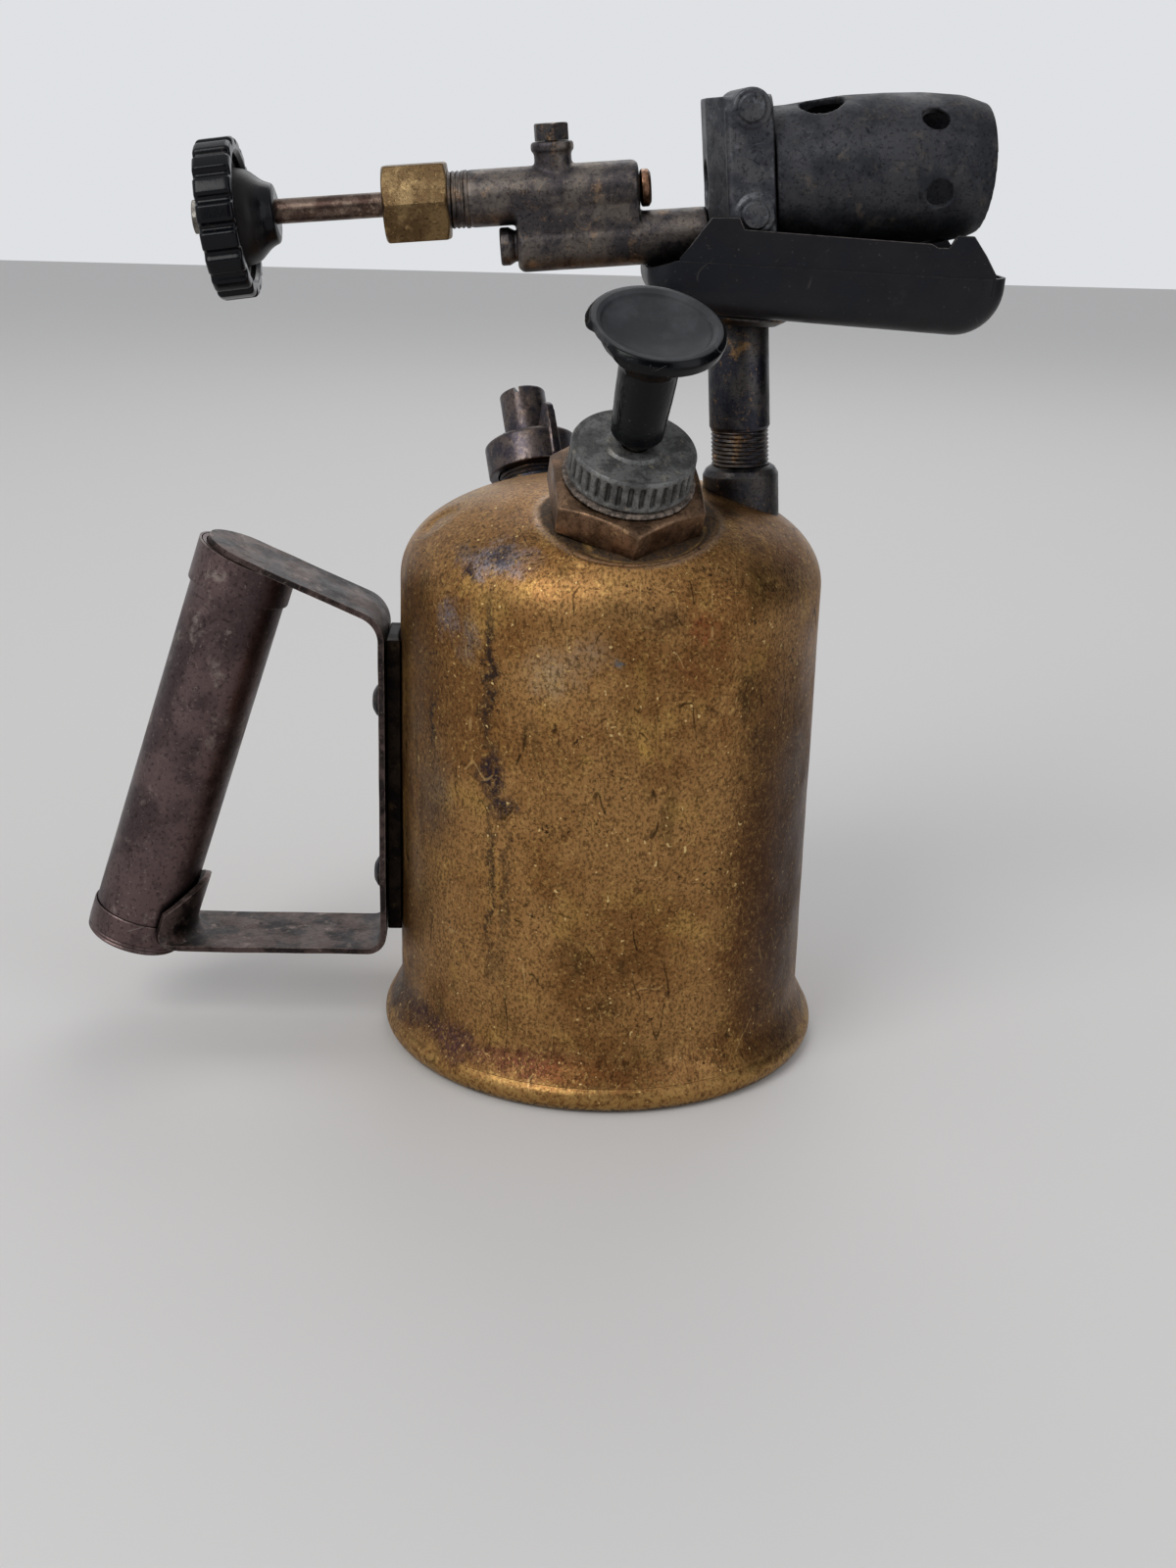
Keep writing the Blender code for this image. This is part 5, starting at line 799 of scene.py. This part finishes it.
def make_pump():
    """Seat nut, washer, fluted cap, and the dished knob on its rod."""
    nut = hexagon(36.0, 0.3, 9.0, 12.0, turn=8.7)
    nipple = turned([(10.9, 14.6), (12.0, 14.6, 0.4), (12.4, 14.2), (12.4, 8.0), (10.9, 8.0)], 96, True)
    skirt = turned([(10.9, 0.6), (17.2, 0.6), (17.2, -11.0), (10.9, -11.0)], 96, True)
    put("pump_seat", joined([nut, nipple, skirt]), PUMP, nut_brass, "pump_seat_nut",
        bevel=0.35)

    washer = turned([(12.7, 9.25), (16.0, 9.25, 0.3), (16.4, 9.7, 0.3), (16.0, 10.2, 0.3), (12.7, 10.2)],
                    240, True, 0.4)

    def worn_rim(out, angle, up):
        if out > 15.2:
            out += 0.22 * noise.noise(Vector((math.cos(angle) * 40, math.sin(angle) * 40, up)))
            out -= 0.16 * (0.5 + 0.5 * math.cos(angle * 110))
        return out, angle, up

    put("pump_joint", reshaped(washer, worn_rim), PUMP, fibre, "pump_washer")

    low, high = 10.5, 18.8
    cap = turned([(3.4, 19.5), (6.6, 19.5, 0.5), (7.3, 18.8, 0.3), (13.6, 18.75, 0.5), (14.9, 18.95, 0.4),
                  (15.3, 18.2, 0.4), (15.3, 10.9, 0.3), (14.9, 10.5), (12.7, 10.5), (12.7, 16.7),
                  (3.4, 16.7)], 408, True, 0.34)

    def fluted(out, angle, up, flutes=34):
        if out > 14.6 and low + 0.4 < up < high - 0.3:
            share = (math.degrees(angle) / (360 / flutes)) % 1 - 0.5
            across = share * 2 * math.pi * 15.3 / flutes
            past = max(low + 2.0 - up, up - (high - 1.9), 0)
            near = math.hypot(across, past)
            out -= 0.95 * (1 - smooth(0.35, 0.80, near))
        return out, angle, up

    put("pump_cover", reshaped(cap, fluted), PUMP, zinc, "pump_cap", sharp=60)

    dish = [(12.5 * k / 14, 48.0 + 3.9 * (k / 14) ** 2) for k in range(15)]
    knob = turned(dish + [
        (13.0, 52.6, 0.5), (14.0, 53.2, 0.4), (15.4, 53.1, 0.6), (16.43, 51.7, 1.1),
        (16.0, 49.4, 1.0), (13.8, 48.1, 2.0), (10.7, 46.7, 3.0), (7.9, 44.4, 3.5), (7.1, 41.6, 4.0),
        (6.9, 34.0, 8.0), (6.4, 23.2, 0.6), (5.7, 22.1, 0.3), (3.3, 22.1), (3.3, 32.1), (0, 32.1)],
        192, pitch=0.5)

    def chipped(out, angle, up):
        # The rim is thin from 158 to 246 degrees, and bitten away in the middle of that
        turn = math.degrees(angle) % 360
        thin = smooth(158, 172, turn) * (1 - smooth(226, 246, turn))
        bite = smooth(190, 200, turn) * (1 - smooth(214, 238, turn))
        facet = noise.noise(Vector((turn / 7.0, up / 1.5, 0.5)))
        if out > 11.5 and up < 51.9:
            up += thin * (51.9 - up) * (0.74 + 0.12 * facet) * smooth(11.5, 14.5, out)
        if out > 12.5:
            out -= bite * max(0.0, out - 14.3 - 0.5 * facet) * 0.85
        spot = Vector((math.cos(angle) * out, math.sin(angle) * out, up))
        return out + 0.03 * noise.noise(spot / 1.3) - thin * 0.12 * abs(facet), angle, up

    put("pump_knob_cap", reshaped(knob, chipped), PUMP, ebonite, "pump_knob",
        "pump_plunger", sharp=60)
    rod = turned([(0, 32.0), (3.0, 32.0), (3.0, -80.0), (2.4, -80.0), (2.4, -89.8), (0, -89.8)], 48)
    put("pump_shaft", rod, PUMP, steel, "pump_rod", "pump_plunger")


# Filler

def make_filler():
    """Threaded neck, the eared cap and the slotted relief valve that stands in it."""
    neck = turned([(7.5, 7.0), (9.2, 7.0, 0.3), (9.8, 6.4), (9.8, 0.0), (9.8, -4.5), (7.5, -4.5)], 120,
                  True, 0.15)
    neck = threaded(neck, 9.4, -0.2, 6.2, 0.34, 1.15)
    put("filler_spout", neck, FILLER, dark_bronze, "filler_neck")

    top = 12.0
    body = turned([(0, top), (11.4, top, 0.5), (12.7, 11.1, 0.7), (12.7, 2.4), (10.15, 2.4), (10.15, 8.6),
                   (0, 8.6)], 120)
    ears = []
    for side in (0, 180):
        shape = rounded([(5.2, top - 1.5), (11.8, top - 1.5), (11.8, 3.3), (13.1, 3.3, 0.5),
                         (13.25, top, 0.4), (12.9, top + 5.6, 1.0), (11.3, top + 7.2, 0.9),
                         (10.2, top + 6.3, 1.5), (6.4, top + 0.9)], True, 4)
        ear = plate(shape, -1.2, 1.2)
        turn = Euler((math.radians(90), 0, math.radians(-55 + side))).to_matrix().to_4x4()
        ears.append(placed(ear, turn))
    cap = cast([body] + ears, [drum(4.4, 10.2, 20)], 0.27, 3)
    put("filler_lid", cap, FILLER, brown_bronze, "filler_cap", "screw_cap", sharp=80)

    stub = turned([(0, 26.4), (5.1, 26.4, 0.5), (6.35, 25.8, 0.9), (6.35, 13.6, 0.4), (6.0, 12.9),
                   (6.35, 12.3), (4.0, 12.3), (4.0, 10.5), (2.9, 10.5), (2.9, 19.5), (0, 19.5)], 96)
    slot = placed(block((-9, -0.7, 24.4), (9, 0.7, 30)), Matrix.Rotation(math.radians(79), 4, 'Z'))
    stub = cut(stub, [slot])
    put("relief_stub", stub, FILLER, brown_bronze, "relief_valve_body", "screw_cap",
        bevel=0.2)


# Riser

def make_riser():
    """Socket on the dome, the riser with its fine thread, and the collar under the pan."""
    socket = turned([(7.35, -42.8), (7.7, -42.6, 0.2), (8.9, -43.4, 0.9), (9.75, -44.9, 0.8), (9.75, -58.0),
                     (7.35, -58.0)], 120, True, 1.5)
    put("riser_boss", socket, STEM, dark_bronze, "riser_socket")
    top, root, step = -33.2, -43.6, 0.16
    ridges = [(7.4, top - step * k) for k in range(round((top - root) / step))]
    tube = turned([(4.0, 9.9), (5.5, 9.9), (5.5, 7.7), (7.2, 7.7), (7.75, 7.2), (7.75, -32.6, 0.3)] + ridges
                  + [(7.0, root), (7.0, -58.0), (4.0, -58.0)], 144, True)
    tube = threaded(tube, 7.1, -43.3, -33.4, 0.42, 1.05)
    put("riser_pipe", tube, STEM, dark_bronze, "riser_tube", sharp=50)
    collar = turned([(5.0, -0.3), (12.1, -0.3, 0.3), (12.1, -1.1, 0.5), (9.6, -2.5, 0.4), (5.0, -2.5)], 96,
                    True)
    put("pan_seat", collar, PAN, dark_bronze, "pan_collar")


# Valve body and its fittings

def make_valve():
    """The valve's casting with its jet, plugs and packing nut, and the spindle with its handwheel."""
    to_head = HEAD.inverted() @ SPINDLE
    upper = placed(turned([(0, -23.5), (5.9, -23.5, 0.6), (6.85, -24.6, 0.8), (6.85, -64.8, 0.6),
                           (6.3, -66.4), (6.3, -72.0), (0, -72.0)], 72), to_head)
    lower = placed(turned([(0, -4.5), (4.5, -4.5), (4.5, -7.1), (6.5, -7.1), (6.5, -53.2, 1.0),
                           (5.4, -54.4, 0.6), (0, -54.4)], 72), HEAD.inverted() @ FEED)
    web = block((-54.0, -6.0, 15.2), (-23.8, 6.0, 27.0))
    crown = placed(turned([(0, 39.3), (4.9, 39.3, 0.4), (5.3, 38.6, 0.4), (5.3, 37.2, 0.4), (4.6, 36.6, 0.4),
                           (4.6, 29.0), (0, 29.0)], 60), Matrix.Translation((-44.2, 0, 0)))
    bores = [placed(drum(3.35, -75.0, -36.0), to_head), placed(drum(1.75, -37.0, -29.0), to_head),
             placed(drum(2.45, -29.8, -22.0), to_head)]
    casting = cast([upper, lower, web, crown], bores, 0.32, 6)
    thread = turned([(3.4, -65.5), (6.9, -65.5), (6.9, -72.0), (6.3, -72.4), (6.3, -79.1), (3.4, -79.1)],
                    144, True, 0.16)
    thread = threaded(thread, 6.4, -71.6, -66.4, 0.40, 1.15)
    whole = joined([casting, placed(thread, to_head)])
    put("valve_casting", whole, HEAD, valve_bronze, "valve_body", sharp=60)

    jet = turned([(0.5, -20.6), (3.6, -20.6, 0.3), (4.5, -21.2, 0.5), (4.5, -22.9, 0.5), (3.9, -23.2),
                  (2.2, -23.4), (2.2, -29.6), (0.5, -29.6)], 72, True)
    put("jet", jet, SPINDLE, copper, "jet_nipple")
    screw = turned([(0, -48.4), (2.5, -48.4), (2.5, -54.0), (3.8, -54.2), (3.8, -54.9, 0.3),
                    (4.6, -56.4, 0.4), (4.6, -58.6, 0.6), (0, -58.6)], 72)
    slot = block((-9, -0.45, -60.0), (9, 0.45, -57.9))
    put("cleaning_screw", cut(screw, [slot]), FEED, valve_bronze, "cleaning_plug", bevel=0.12)
    cap = hexagon(7.8, 39.35, 43.5, 0.4, turn=7)
    shank = turned([(0, 41), (1.7, 41), (1.7, 32), (0, 32)], 24)
    put("top_screw", joined([cap, shank]), HEAD @ Matrix.Translation((-44.2, 0, 0)), dark_bronze,
        "top_plug", bevel=0.2)

    nut = hexagon(18.0, -86.3, -70.3, 3.4, both_ends=True, turn=1)
    hollow = turned([(0, -72.0), (7.2, -72.0), (7.2, -70.0), (0, -70.0)], 72)
    put("gland_nut", cut(nut, [hollow]), SPINDLE, gland_brass, "packing_nut", bevel=0.3)

    stem = turned([(0, -30.3), (0.4, -30.3), (1.35, -33.3), (1.35, -37.5), (3.0, -40.0), (3.0, -118.2),
                   (2.2, -118.2), (2.2, -133.4, 0.3), (0, -133.6)], 60, pitch=2.5)
    put("valve_stem", stem, SPINDLE, spindle_steel, "valve_spindle", "valve_wheel")

    back = -9.2
    wheel = turned([(0, 7.8), (5.4, 7.8, 0.3), (7.1, 7.4, 0.9), (8.0, 5.2, 6.0), (11.0, 1.8, 5.0),
                    (12.2, -2.7, 0.5), (15.2, -2.7, 0.6), (15.2, -0.9, 0.5), (16.0, 0.0, 0.8),
                    (19.2, -0.1, 1.1), (19.2, back + 0.1, 1.1), (17.4, back, 1.0), (9.6, back - 0.8, 3.0),
                    (0, back - 0.8)], 288, pitch=0.5)

    def scalloped(out, angle, up, lobes=18):
        share = (math.degrees(angle) / (360 / lobes)) % 1
        wave = 1 - smooth(0.26, 0.44, abs(share - 0.15) if share < 0.65 else abs(share - 1.15))
        if out > 15.4:
            out -= 1.35 * (1 - wave) * smooth(15.4, 19.0, out)
        return out, angle, up

    put("hand_wheel", reshaped(wheel, scalloped), WHEEL, wheel_plastic, "handwheel",
        "valve_wheel", sharp=50)
    end = hexagon(8.0, -133.2, -131.0, 2.3, both_ends=True)
    put("wheel_fixing", end, SPINDLE, steel, "wheel_nut", "valve_wheel", bevel=0.15)


# Burner block, its channel plugs and the burner barrel

def make_burner():
    """The vaporiser block and the drilled barrel, both of rough cast iron blackened by heat."""
    plan = rounded([(8.2, -18.6, 0.9), (8.2, 18.6, 0.9), (-2.0, 18.6, 2.0), (-4.5, 12.4, 2.0),
                    (-7.0, 6.2, 1.5), (-7.0, -6.2, 1.5), (-4.5, -12.4, 2.0), (-2.0, -18.6, 2.0)], True, 3)
    body = plate(plan, 8.0, 46.8)
    front = rounded([(-46.8, -18.6, 5.5), (-8.0, -18.6, 5.5), (-8.0, 18.6, 5.5), (-46.8, 18.6, 5.5)], True, 6)
    form = placed(plate(front, -9, 12), Matrix.Rotation(math.radians(90), 4, 'Y'))
    shapes = [cut(body, [form], 'INTERSECT')]
    for side in (-1, 1):
        shapes.append(placed(drum(1.7, 10.5, 44.0), Matrix.Translation((-1.7, side * 17.2, 0))))
    for height in (19.6, 43.9):
        boss = placed(drum(4.65, -19.3, 19.3), Matrix.Rotation(math.radians(90), 4, 'X'))
        shapes.append(placed(boss, Matrix.Translation((3.0, 0, height))))
    to_head = HEAD.inverted() @ SPINDLE
    cores = [placed(drum(13.6, -2.5, 12), to_head), placed(drum(5.9, -12, -1), to_head)]
    casting = cast(shapes, cores, 0.34, 5)
    put("vaporiser", casting, HEAD, block_iron, "burner_block", sharp=80)

    for side, face in ((-1, "near"), (1, "far")):
        for height, tier in ((19.6, "low"), (43.9, "high")):
            plug = turned([(0, 0.85), (2.9, 0.85, 0.25), (3.4, 0.4, 0.2), (3.5, -0.3), (1.9, -0.4),
                           (1.9, -2.7), (0, -2.7)], 72)

            def hammered(out, angle, up, seed=height * side):
                spot = Vector((math.cos(angle), math.sin(angle), seed))
                return out * (1 + 0.03 * noise.noise(spot)), angle, up

            where = axis(HEAD, (3.0, side * 19.2, height), -90 * side)
            put("channel_stop_%s_%s" % (face, tier), reshaped(plug, hammered), where, block_iron,
                "channel_plug_%s_%s" % (face, tier))

    outer = [(13.2, 4.9), (13.2, 8.5), (17.0, 8.5, 0.3), (17.15, 13.0, 8), (17.85, 19.7, 14),
             (18.5, 26.8, 25), (18.45, 36.8, 30), (18.0, 46.6, 30), (16.75, 56.4, 12), (13.8, 63.9)]
    inner = [(11.8, 63.9), (14.8, 56.2, 8), (16.1, 46.4, 20), (16.5, 36.8, 20), (16.5, 27.0, 20),
             (15.9, 19.7, 10), (11.2, 10.5, 2.0), (11.2, 4.9)]
    barrel = turned(outer + inner, 160, True, 1.2)
    trim = placed(block((-25, -25, 0), (25, 25, 25)),
                  axis(Matrix.Identity(4), (0, 0, 60.65), -4.8, 6.0))
    drills = []
    for radius, station, first, count in ((3.3, 47.5, 42.5, 6), (5.4, 21.3, 73.0, 2)):
        for i in range(count):
            rise = math.radians(first + 360 / count * i)
            out = Vector((-math.sin(rise), -math.cos(rise), 0))
            turn = out.to_track_quat('Z', 'Y').to_matrix().to_4x4()
            drills.append(placed(drum(radius, 7, 24), Matrix.Translation((0, 0, station)) @ turn))
    casting = cast([barrel], [trim] + drills, 0.42, 3)
    put("barrel", casting, SPINDLE, iron, "burner_barrel", sharp=80)


# Priming pan

PAN_OUTLINE = ((0.083, 0.42), (0.083, 0.546), (0.107, 0.664), (0.161, 0.962), (0.236, 0.983), (0.252, 0.875),
               (0.769, 0.892), (0.788, 0.860), (0.819, 0.866), (0.836, 0.990), (0.884, 1.000), (0.925, 0.820),
               (0.959, 0.640), (0.959, 0.42))


def trough_rows(lift):
    """The trough's lengthwise section, moved inwards as its side rises."""
    share = lift / 6.5
    floor = [(-16 + 66.2 * k / 10, lift) for k in range(1, 10)]
    return [(-25 + lift, 9.8 + share * 2.5), *arc(-16, 9, 9 - lift, 180, 270, 12), *floor,
            *arc(50.2, 12, 12 - lift, 270, 360, 14), (62.2 - lift, 14.7 - share * 0.7)]


def make_pan():
    """The pressed trough and its two side plates, spot welded inside it."""
    near = arc(-14.8, 6.5, 6.5, 180, 270, 12)
    across = near + [(-14.8 + 29.6 * k / 8, 0.0) for k in range(1, 8)]
    across += [(-y, lift) for y, lift in reversed(near)]
    columns = [[(x, y, z) for x, z in trough_rows(lift)] for y, lift in across]
    bm = sheet(list(zip(*columns)))
    for side in (-1, 1):
        rim = [vert for vert in bm.verts if abs(vert.co.y - side * 21.3) < 0.01]
        rim.sort(key=lambda vert: vert.co.x)
        if len(rim) > 3:
            bm.faces.new(rim)
    bmesh.ops.recalc_face_normals(bm, faces=bm.faces)
    if sum(face.normal.z * face.calc_area() for face in bm.faces) > 0:
        bmesh.ops.reverse_faces(bm, faces=bm.faces)
    bmesh.ops.solidify(bm, geom=bm.faces[:], thickness=1.0)
    hole = placed(drum(8.35, -12, 12, 72), PAN.inverted() @ STEM)
    notch = placed(drum(7.3, -60, -8, 72), PAN.inverted() @ FEED)
    bm = cut(bm, [hole, notch])
    sides = []
    for side in (-1, 1):
        points = [(-25 + x * 87.2, z * 23.8) for x, z in PAN_OUTLINE]
        corners = [(x, z, 0.4) if 0 < i < len(points) - 1 else (x, z) for i, (x, z) in enumerate(points)]
        shape = rounded(corners, True, 3)
        wall = plate(shape, 0, 1.0)
        turn = Matrix.Rotation(math.radians(90), 4, 'X')
        offset = -20.9 + 1.0 if side < 0 else 20.9
        sides.append(placed(wall, Matrix.Translation((0, offset, 0)) @ turn))
    trough = joined([bm] + sides)
    put("trough", trough, PAN, black_steel, "priming_pan", bevel=0.2, sharp=40)


# Handle

def grip_spot(radius, angle, height):
    """A point given about the leaning grip's axis."""
    out = radius * math.cos(angle)
    return Vector((GRIP_FOOT.x + out * math.cos(GRIP_LEAN) + height * math.sin(GRIP_LEAN),
                   radius * math.sin(angle),
                   GRIP_FOOT.z - out * math.sin(GRIP_LEAN) + height * math.cos(GRIP_LEAN)))


def grip_up(radius, angle, above):
    """Height along the grip of a point that lies at a height above the ground."""
    return (above - GRIP_FOOT.z + radius * math.cos(angle) * math.sin(GRIP_LEAN)) / math.cos(GRIP_LEAN)


def strap_rows(columns):
    """Rows of points across the strap, from its round top end to the saddle's tongue."""
    leg = -59.4
    half = 12.6
    slope = math.radians(24)
    low = 24.2
    tip = (leg - 49.3 * math.cos(slope), 116 + 49.3 * math.sin(slope))
    middle = 12.5 + 0.6 + 0.6 + 0.8
    start = grip_spot(middle + 10.0, 0, grip_up(middle, 0, low))
    path = rounded([tip, (leg, 116, 8.0), (leg, low, 4.5), (start.x, low)], steps=10)
    spine = divided(path, 2.5)
    across = [2 * i / columns - 1 for i in range(columns + 1)]
    rows = []
    along = (spine[1] - spine[0]).normalized()
    for share in (0.01, 0.05, 0.12, 0.22, 0.36, 0.54, 0.75):
        width = math.sqrt(half ** 2 - (half - share * half) ** 2)
        spot = Vector(tip) + along * share * half
        rows.append([Vector((spot.x, width * u, spot.y)) for u in across])
    for spot in spine:
        if (spot - Vector(tip)).length > half * 0.97:
            rows.append([Vector((spot.x, half * u, spot.y)) for u in across])
    wrap = math.radians(62)
    for k in range(1, 9):
        swing = math.pi / 2 * k / 8
        out = 1 - math.sin(swing)
        up = 1 - math.cos(swing)
        wrapped = smooth(0.0, 1.0, k / 8)
        radius = middle + out * 5.0
        row = []
        for u in across:
            flat = math.asin(half * u / radius)
            angle = flat + wrapped * (wrap * u - flat)
            row.append(grip_spot(radius, angle, grip_up(radius, angle, low + up * 5.0)))
        rows.append(row)
    for rise in (0.25, 0.5, 0.75, 1.0):
        row = []
        for u in across:
            edge = 10.0 + 7.2 * math.cos(math.pi / 2 * u)
            above = low + 5.0 + rise * (edge - 5.0)
            row.append(grip_spot(middle, wrap * u, grip_up(middle, wrap * u, above)))
        rows.append(row)
    return rows


def make_handle():
    """The bent strap on its pad, and the tube grip with its ferrule and end cap."""
    bm = sheet(strap_rows(20))
    bmesh.ops.recalc_face_normals(bm, faces=bm.faces)
    for vert in bm.verts:
        vert.co += vert.normal * 0.12 * noise.noise(vert.co / 9.0)
    solid = shown("work", as_mesh("work", bm))
    gauge = solid.modifiers.new("gauge", 'SOLIDIFY')
    gauge.thickness = 1.6
    gauge.offset = 0
    gauge.use_even_offset = True
    put("strap", settled(solid), LAMP, strap_steel, "handle_strap", bevel=0.3, sharp=40)

    arc = [(-55.3 * math.cos(math.asin(y / 55.3)), y) for y in (10, 7.5, 5, 2.5, 0, -2.5, -5, -7.5, -10)]
    pad = plate([(-58.3, -10), (-58.3, 10)] + arc, 30.0, 111.0)
    put("strap_pad", pad, LAMP, pad_brass_soot_and_shade, "handle_pad", bevel=0.4)
    for height, tier in ((43.0, "low"), (92.0, "high")):
        head = turned([(0, 2.5), (2.3, 2.3, 3), (4.0, 1.3, 1.5), (4.6, 0.4, 0.2), (4.5, 0.2), (2.1, 0.2),
                       (2.1, -2.8), (0, -2.8)], 64)
        put("rivet_" + tier, head, axis(LAMP, (-60.2, 0, height), 0, -90), dark_bronze,
            "handle_rivet_" + tier)

    line = Vector((math.sin(math.radians(24)), 0, math.cos(math.radians(24))))
    to_grip = GRIP.inverted() @ LAMP
    for name, inner, outer, foot, node in (("grip", 11.5, 12.5, 1.3, "grip_tube"),
                                           ("ferrule", 12.8, 13.4, 103.8, "grip_ferrule")):
        tube = turned([(inner, 125), (outer, 125), (outer, foot, 0.2), (inner, foot)], 128, True, 2.0)
        spot = to_grip @ Vector((-59.4, 0, 116.0)) - to_grip.to_3x3() @ line * 0.85
        shorn = bmesh.ops.bisect_plane(tube, geom=tube.verts[:] + tube.edges[:] + tube.faces[:],
                                       plane_co=spot, plane_no=to_grip.to_3x3() @ line, clear_outer=True)
        rim = [item for item in shorn["geom_cut"] if isinstance(item, bmesh.types.BMEdge)]
        bmesh.ops.bridge_loops(tube, edges=rim)
        put(name, tidy(tube), GRIP, grip_steel, node, sharp=45)
    end = turned([(0, 0), (10.6, 0, 0.6), (12.4, 0.5, 0.4), (12.95, 1.1, 0.25), (12.6, 1.6, 0.2),
                  (13.0, 2.1, 0.25), (12.75, 2.6, 0.2), (13.05, 3.2, 0.4), (13.05, 8.9, 0.15), (12.9, 9.2),
                  (12.75, 9.2), (12.6, 8.8), (12.55, 0.9), (0, 0.9)], 128)
    put("grip_foot", end, GRIP, grip_steel, "grip_end_cap", sharp=45)


make_tank()
make_pump()
make_filler()
make_riser()
make_valve()
make_burner()
make_pan()
make_handle()

# CAD nodes that stay as they are, mostly inside the lamp
KEPT = {
    "pump_barrel": nut_brass, "check_valve_body": nut_brass, "check_disc": leather, "check_spring": steel,
    "piston_washer": nut_brass, "piston_leather": leather, "cup_washer": nut_brass, "cup_nut": nut_brass,
    "filler_gasket": leather, "relief_disc": leather, "relief_spring": steel,
    "pickup_pipe": nut_brass, "pickup_strainer": nut_brass, "gland_ring": nut_brass,
    "gland_packing": leather,
}
for node, look in KEPT.items():
    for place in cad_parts[node].material_slots:
        place.material = look


# Stage: pale floor, pale surround, soft lights, and the photograph's camera

def make_floor():
    """A plain pale bench that keeps the lamp's shadow."""
    bm = bmesh.new()
    bmesh.ops.create_grid(bm, x_segments=4, y_segments=4, size=3.0)
    mesh = as_mesh("bench", bm)
    material, _ = begin("Pale bench top", 0.7, 0.0, Base_Color=colour("D6D4D1"))
    mesh.materials.append(material)
    shown("bench", mesh)


def make_surround():
    """Soft room light, and a pale backdrop for the camera, for gloss and for glass."""
    world = bpy.data.worlds.new("studio")
    world.use_nodes = True
    bpy.context.scene.world = world
    tree = world.node_tree
    tree.nodes.clear()
    path = add(tree, "LightPath")
    seen = add(tree, "Math", {0: path.outputs["Is Camera Ray"], 1: path.outputs["Is Glossy Ray"]},
               operation='MAXIMUM')
    seen = add(tree, "Math", {0: seen, 1: path.outputs["Is Transmission Ray"]}, operation='MAXIMUM')
    room = add(tree, "Background", {"Color": colour("EDEFF4"), "Strength": 0.6})
    pale = add(tree, "Background", {"Color": colour("DFE1E4"), "Strength": 1.0})
    add(tree, "OutputWorld", {"Surface": add(tree, "MixShader", {0: seen, 1: room, 2: pale})})


def aimed(ob, at, aim):
    """Stand an object at a place, facing another."""
    ob.location = at
    ob.rotation_euler = (Vector(at) - Vector(aim)).to_track_quat('Z', 'Y').to_euler()
    return ob


def soft_light(name, at, aim, size, power, tint):
    """A large area lamp."""
    lamp = bpy.data.lights.new(name, 'AREA')
    lamp.shape = 'DISK'
    lamp.size = size
    lamp.energy = power
    lamp.color = colour(tint)[:3]
    aimed(shown(name, lamp), at, aim)


def dark_card(name, at, aim, width, height):
    """A black card beside the set that only gloss can see, to give the metal its dark side."""
    bm = bmesh.new()
    bmesh.ops.create_grid(bm, x_segments=1, y_segments=1, size=0.5)
    mesh = as_mesh(name, bm)
    material, _ = begin("Black card", 1.0, 0.0, Base_Color=colour("15151A"), Specular_IOR_Level=0.0)
    mesh.materials.append(material)
    card = aimed(shown(name, mesh), at, aim)
    card.scale = (width, height, 1)
    card.visible_camera = False
    card.visible_diffuse = False
    card.visible_shadow = False


def make_camera():
    """The photograph's camera, found by laying the CAD frame over it."""
    pitch, roll, aside, yaw = (math.radians(a) for a in (18.8, 1.57, -0.51, -2.5))
    ahead = Vector((math.sin(aside) * math.cos(pitch), math.cos(aside) * math.cos(pitch), -math.sin(pitch)))
    right = Vector((math.cos(aside), -math.sin(aside), 0))
    up = right.cross(ahead)
    right, up = math.cos(roll) * right + math.sin(roll) * up, math.cos(roll) * up - math.sin(roll) * right
    turn = Matrix.Rotation(yaw, 3, 'Z')
    place = Matrix((turn @ right, turn @ up, turn @ -ahead)).transposed().to_4x4()
    place.translation = turn @ Vector((0, -0.493, 0.237)) + Vector((centre.x, centre.y, 0))
    lens = bpy.data.cameras.new("photograph")
    lens.sensor_width = 36
    lens.lens = 43.875
    lens.clip_start = 0.01
    view = shown("photograph", lens)
    view.matrix_world = place
    bpy.context.scene.camera = view


make_floor()
make_surround()
TANK_MIDDLE = (0.02, 0, 0.1)
soft_light("key", (-0.75, -0.95, 1.15), TANK_MIDDLE, 0.9, 10, "FFFFFF")
soft_light("fill", (1.1, -0.7, 0.7), TANK_MIDDLE, 1.2, 2.5, "F4F6FF")
soft_light("back", (0.2, 1.1, 1.2), TANK_MIDDLE, 1.0, 4, "FFFFFF")
dark_card("card_right", (0.85, 0.1, 0.35), (0.02, 0, 0.12), 0.9, 1.1)
dark_card("card_front", (0.15, -1.1, 0.5), (0.02, 0, 0.12), 0.9, 0.6)
make_camera()
bpy.context.scene.view_settings.view_transform = 'Standard'

bpy.context.view_layer.update()
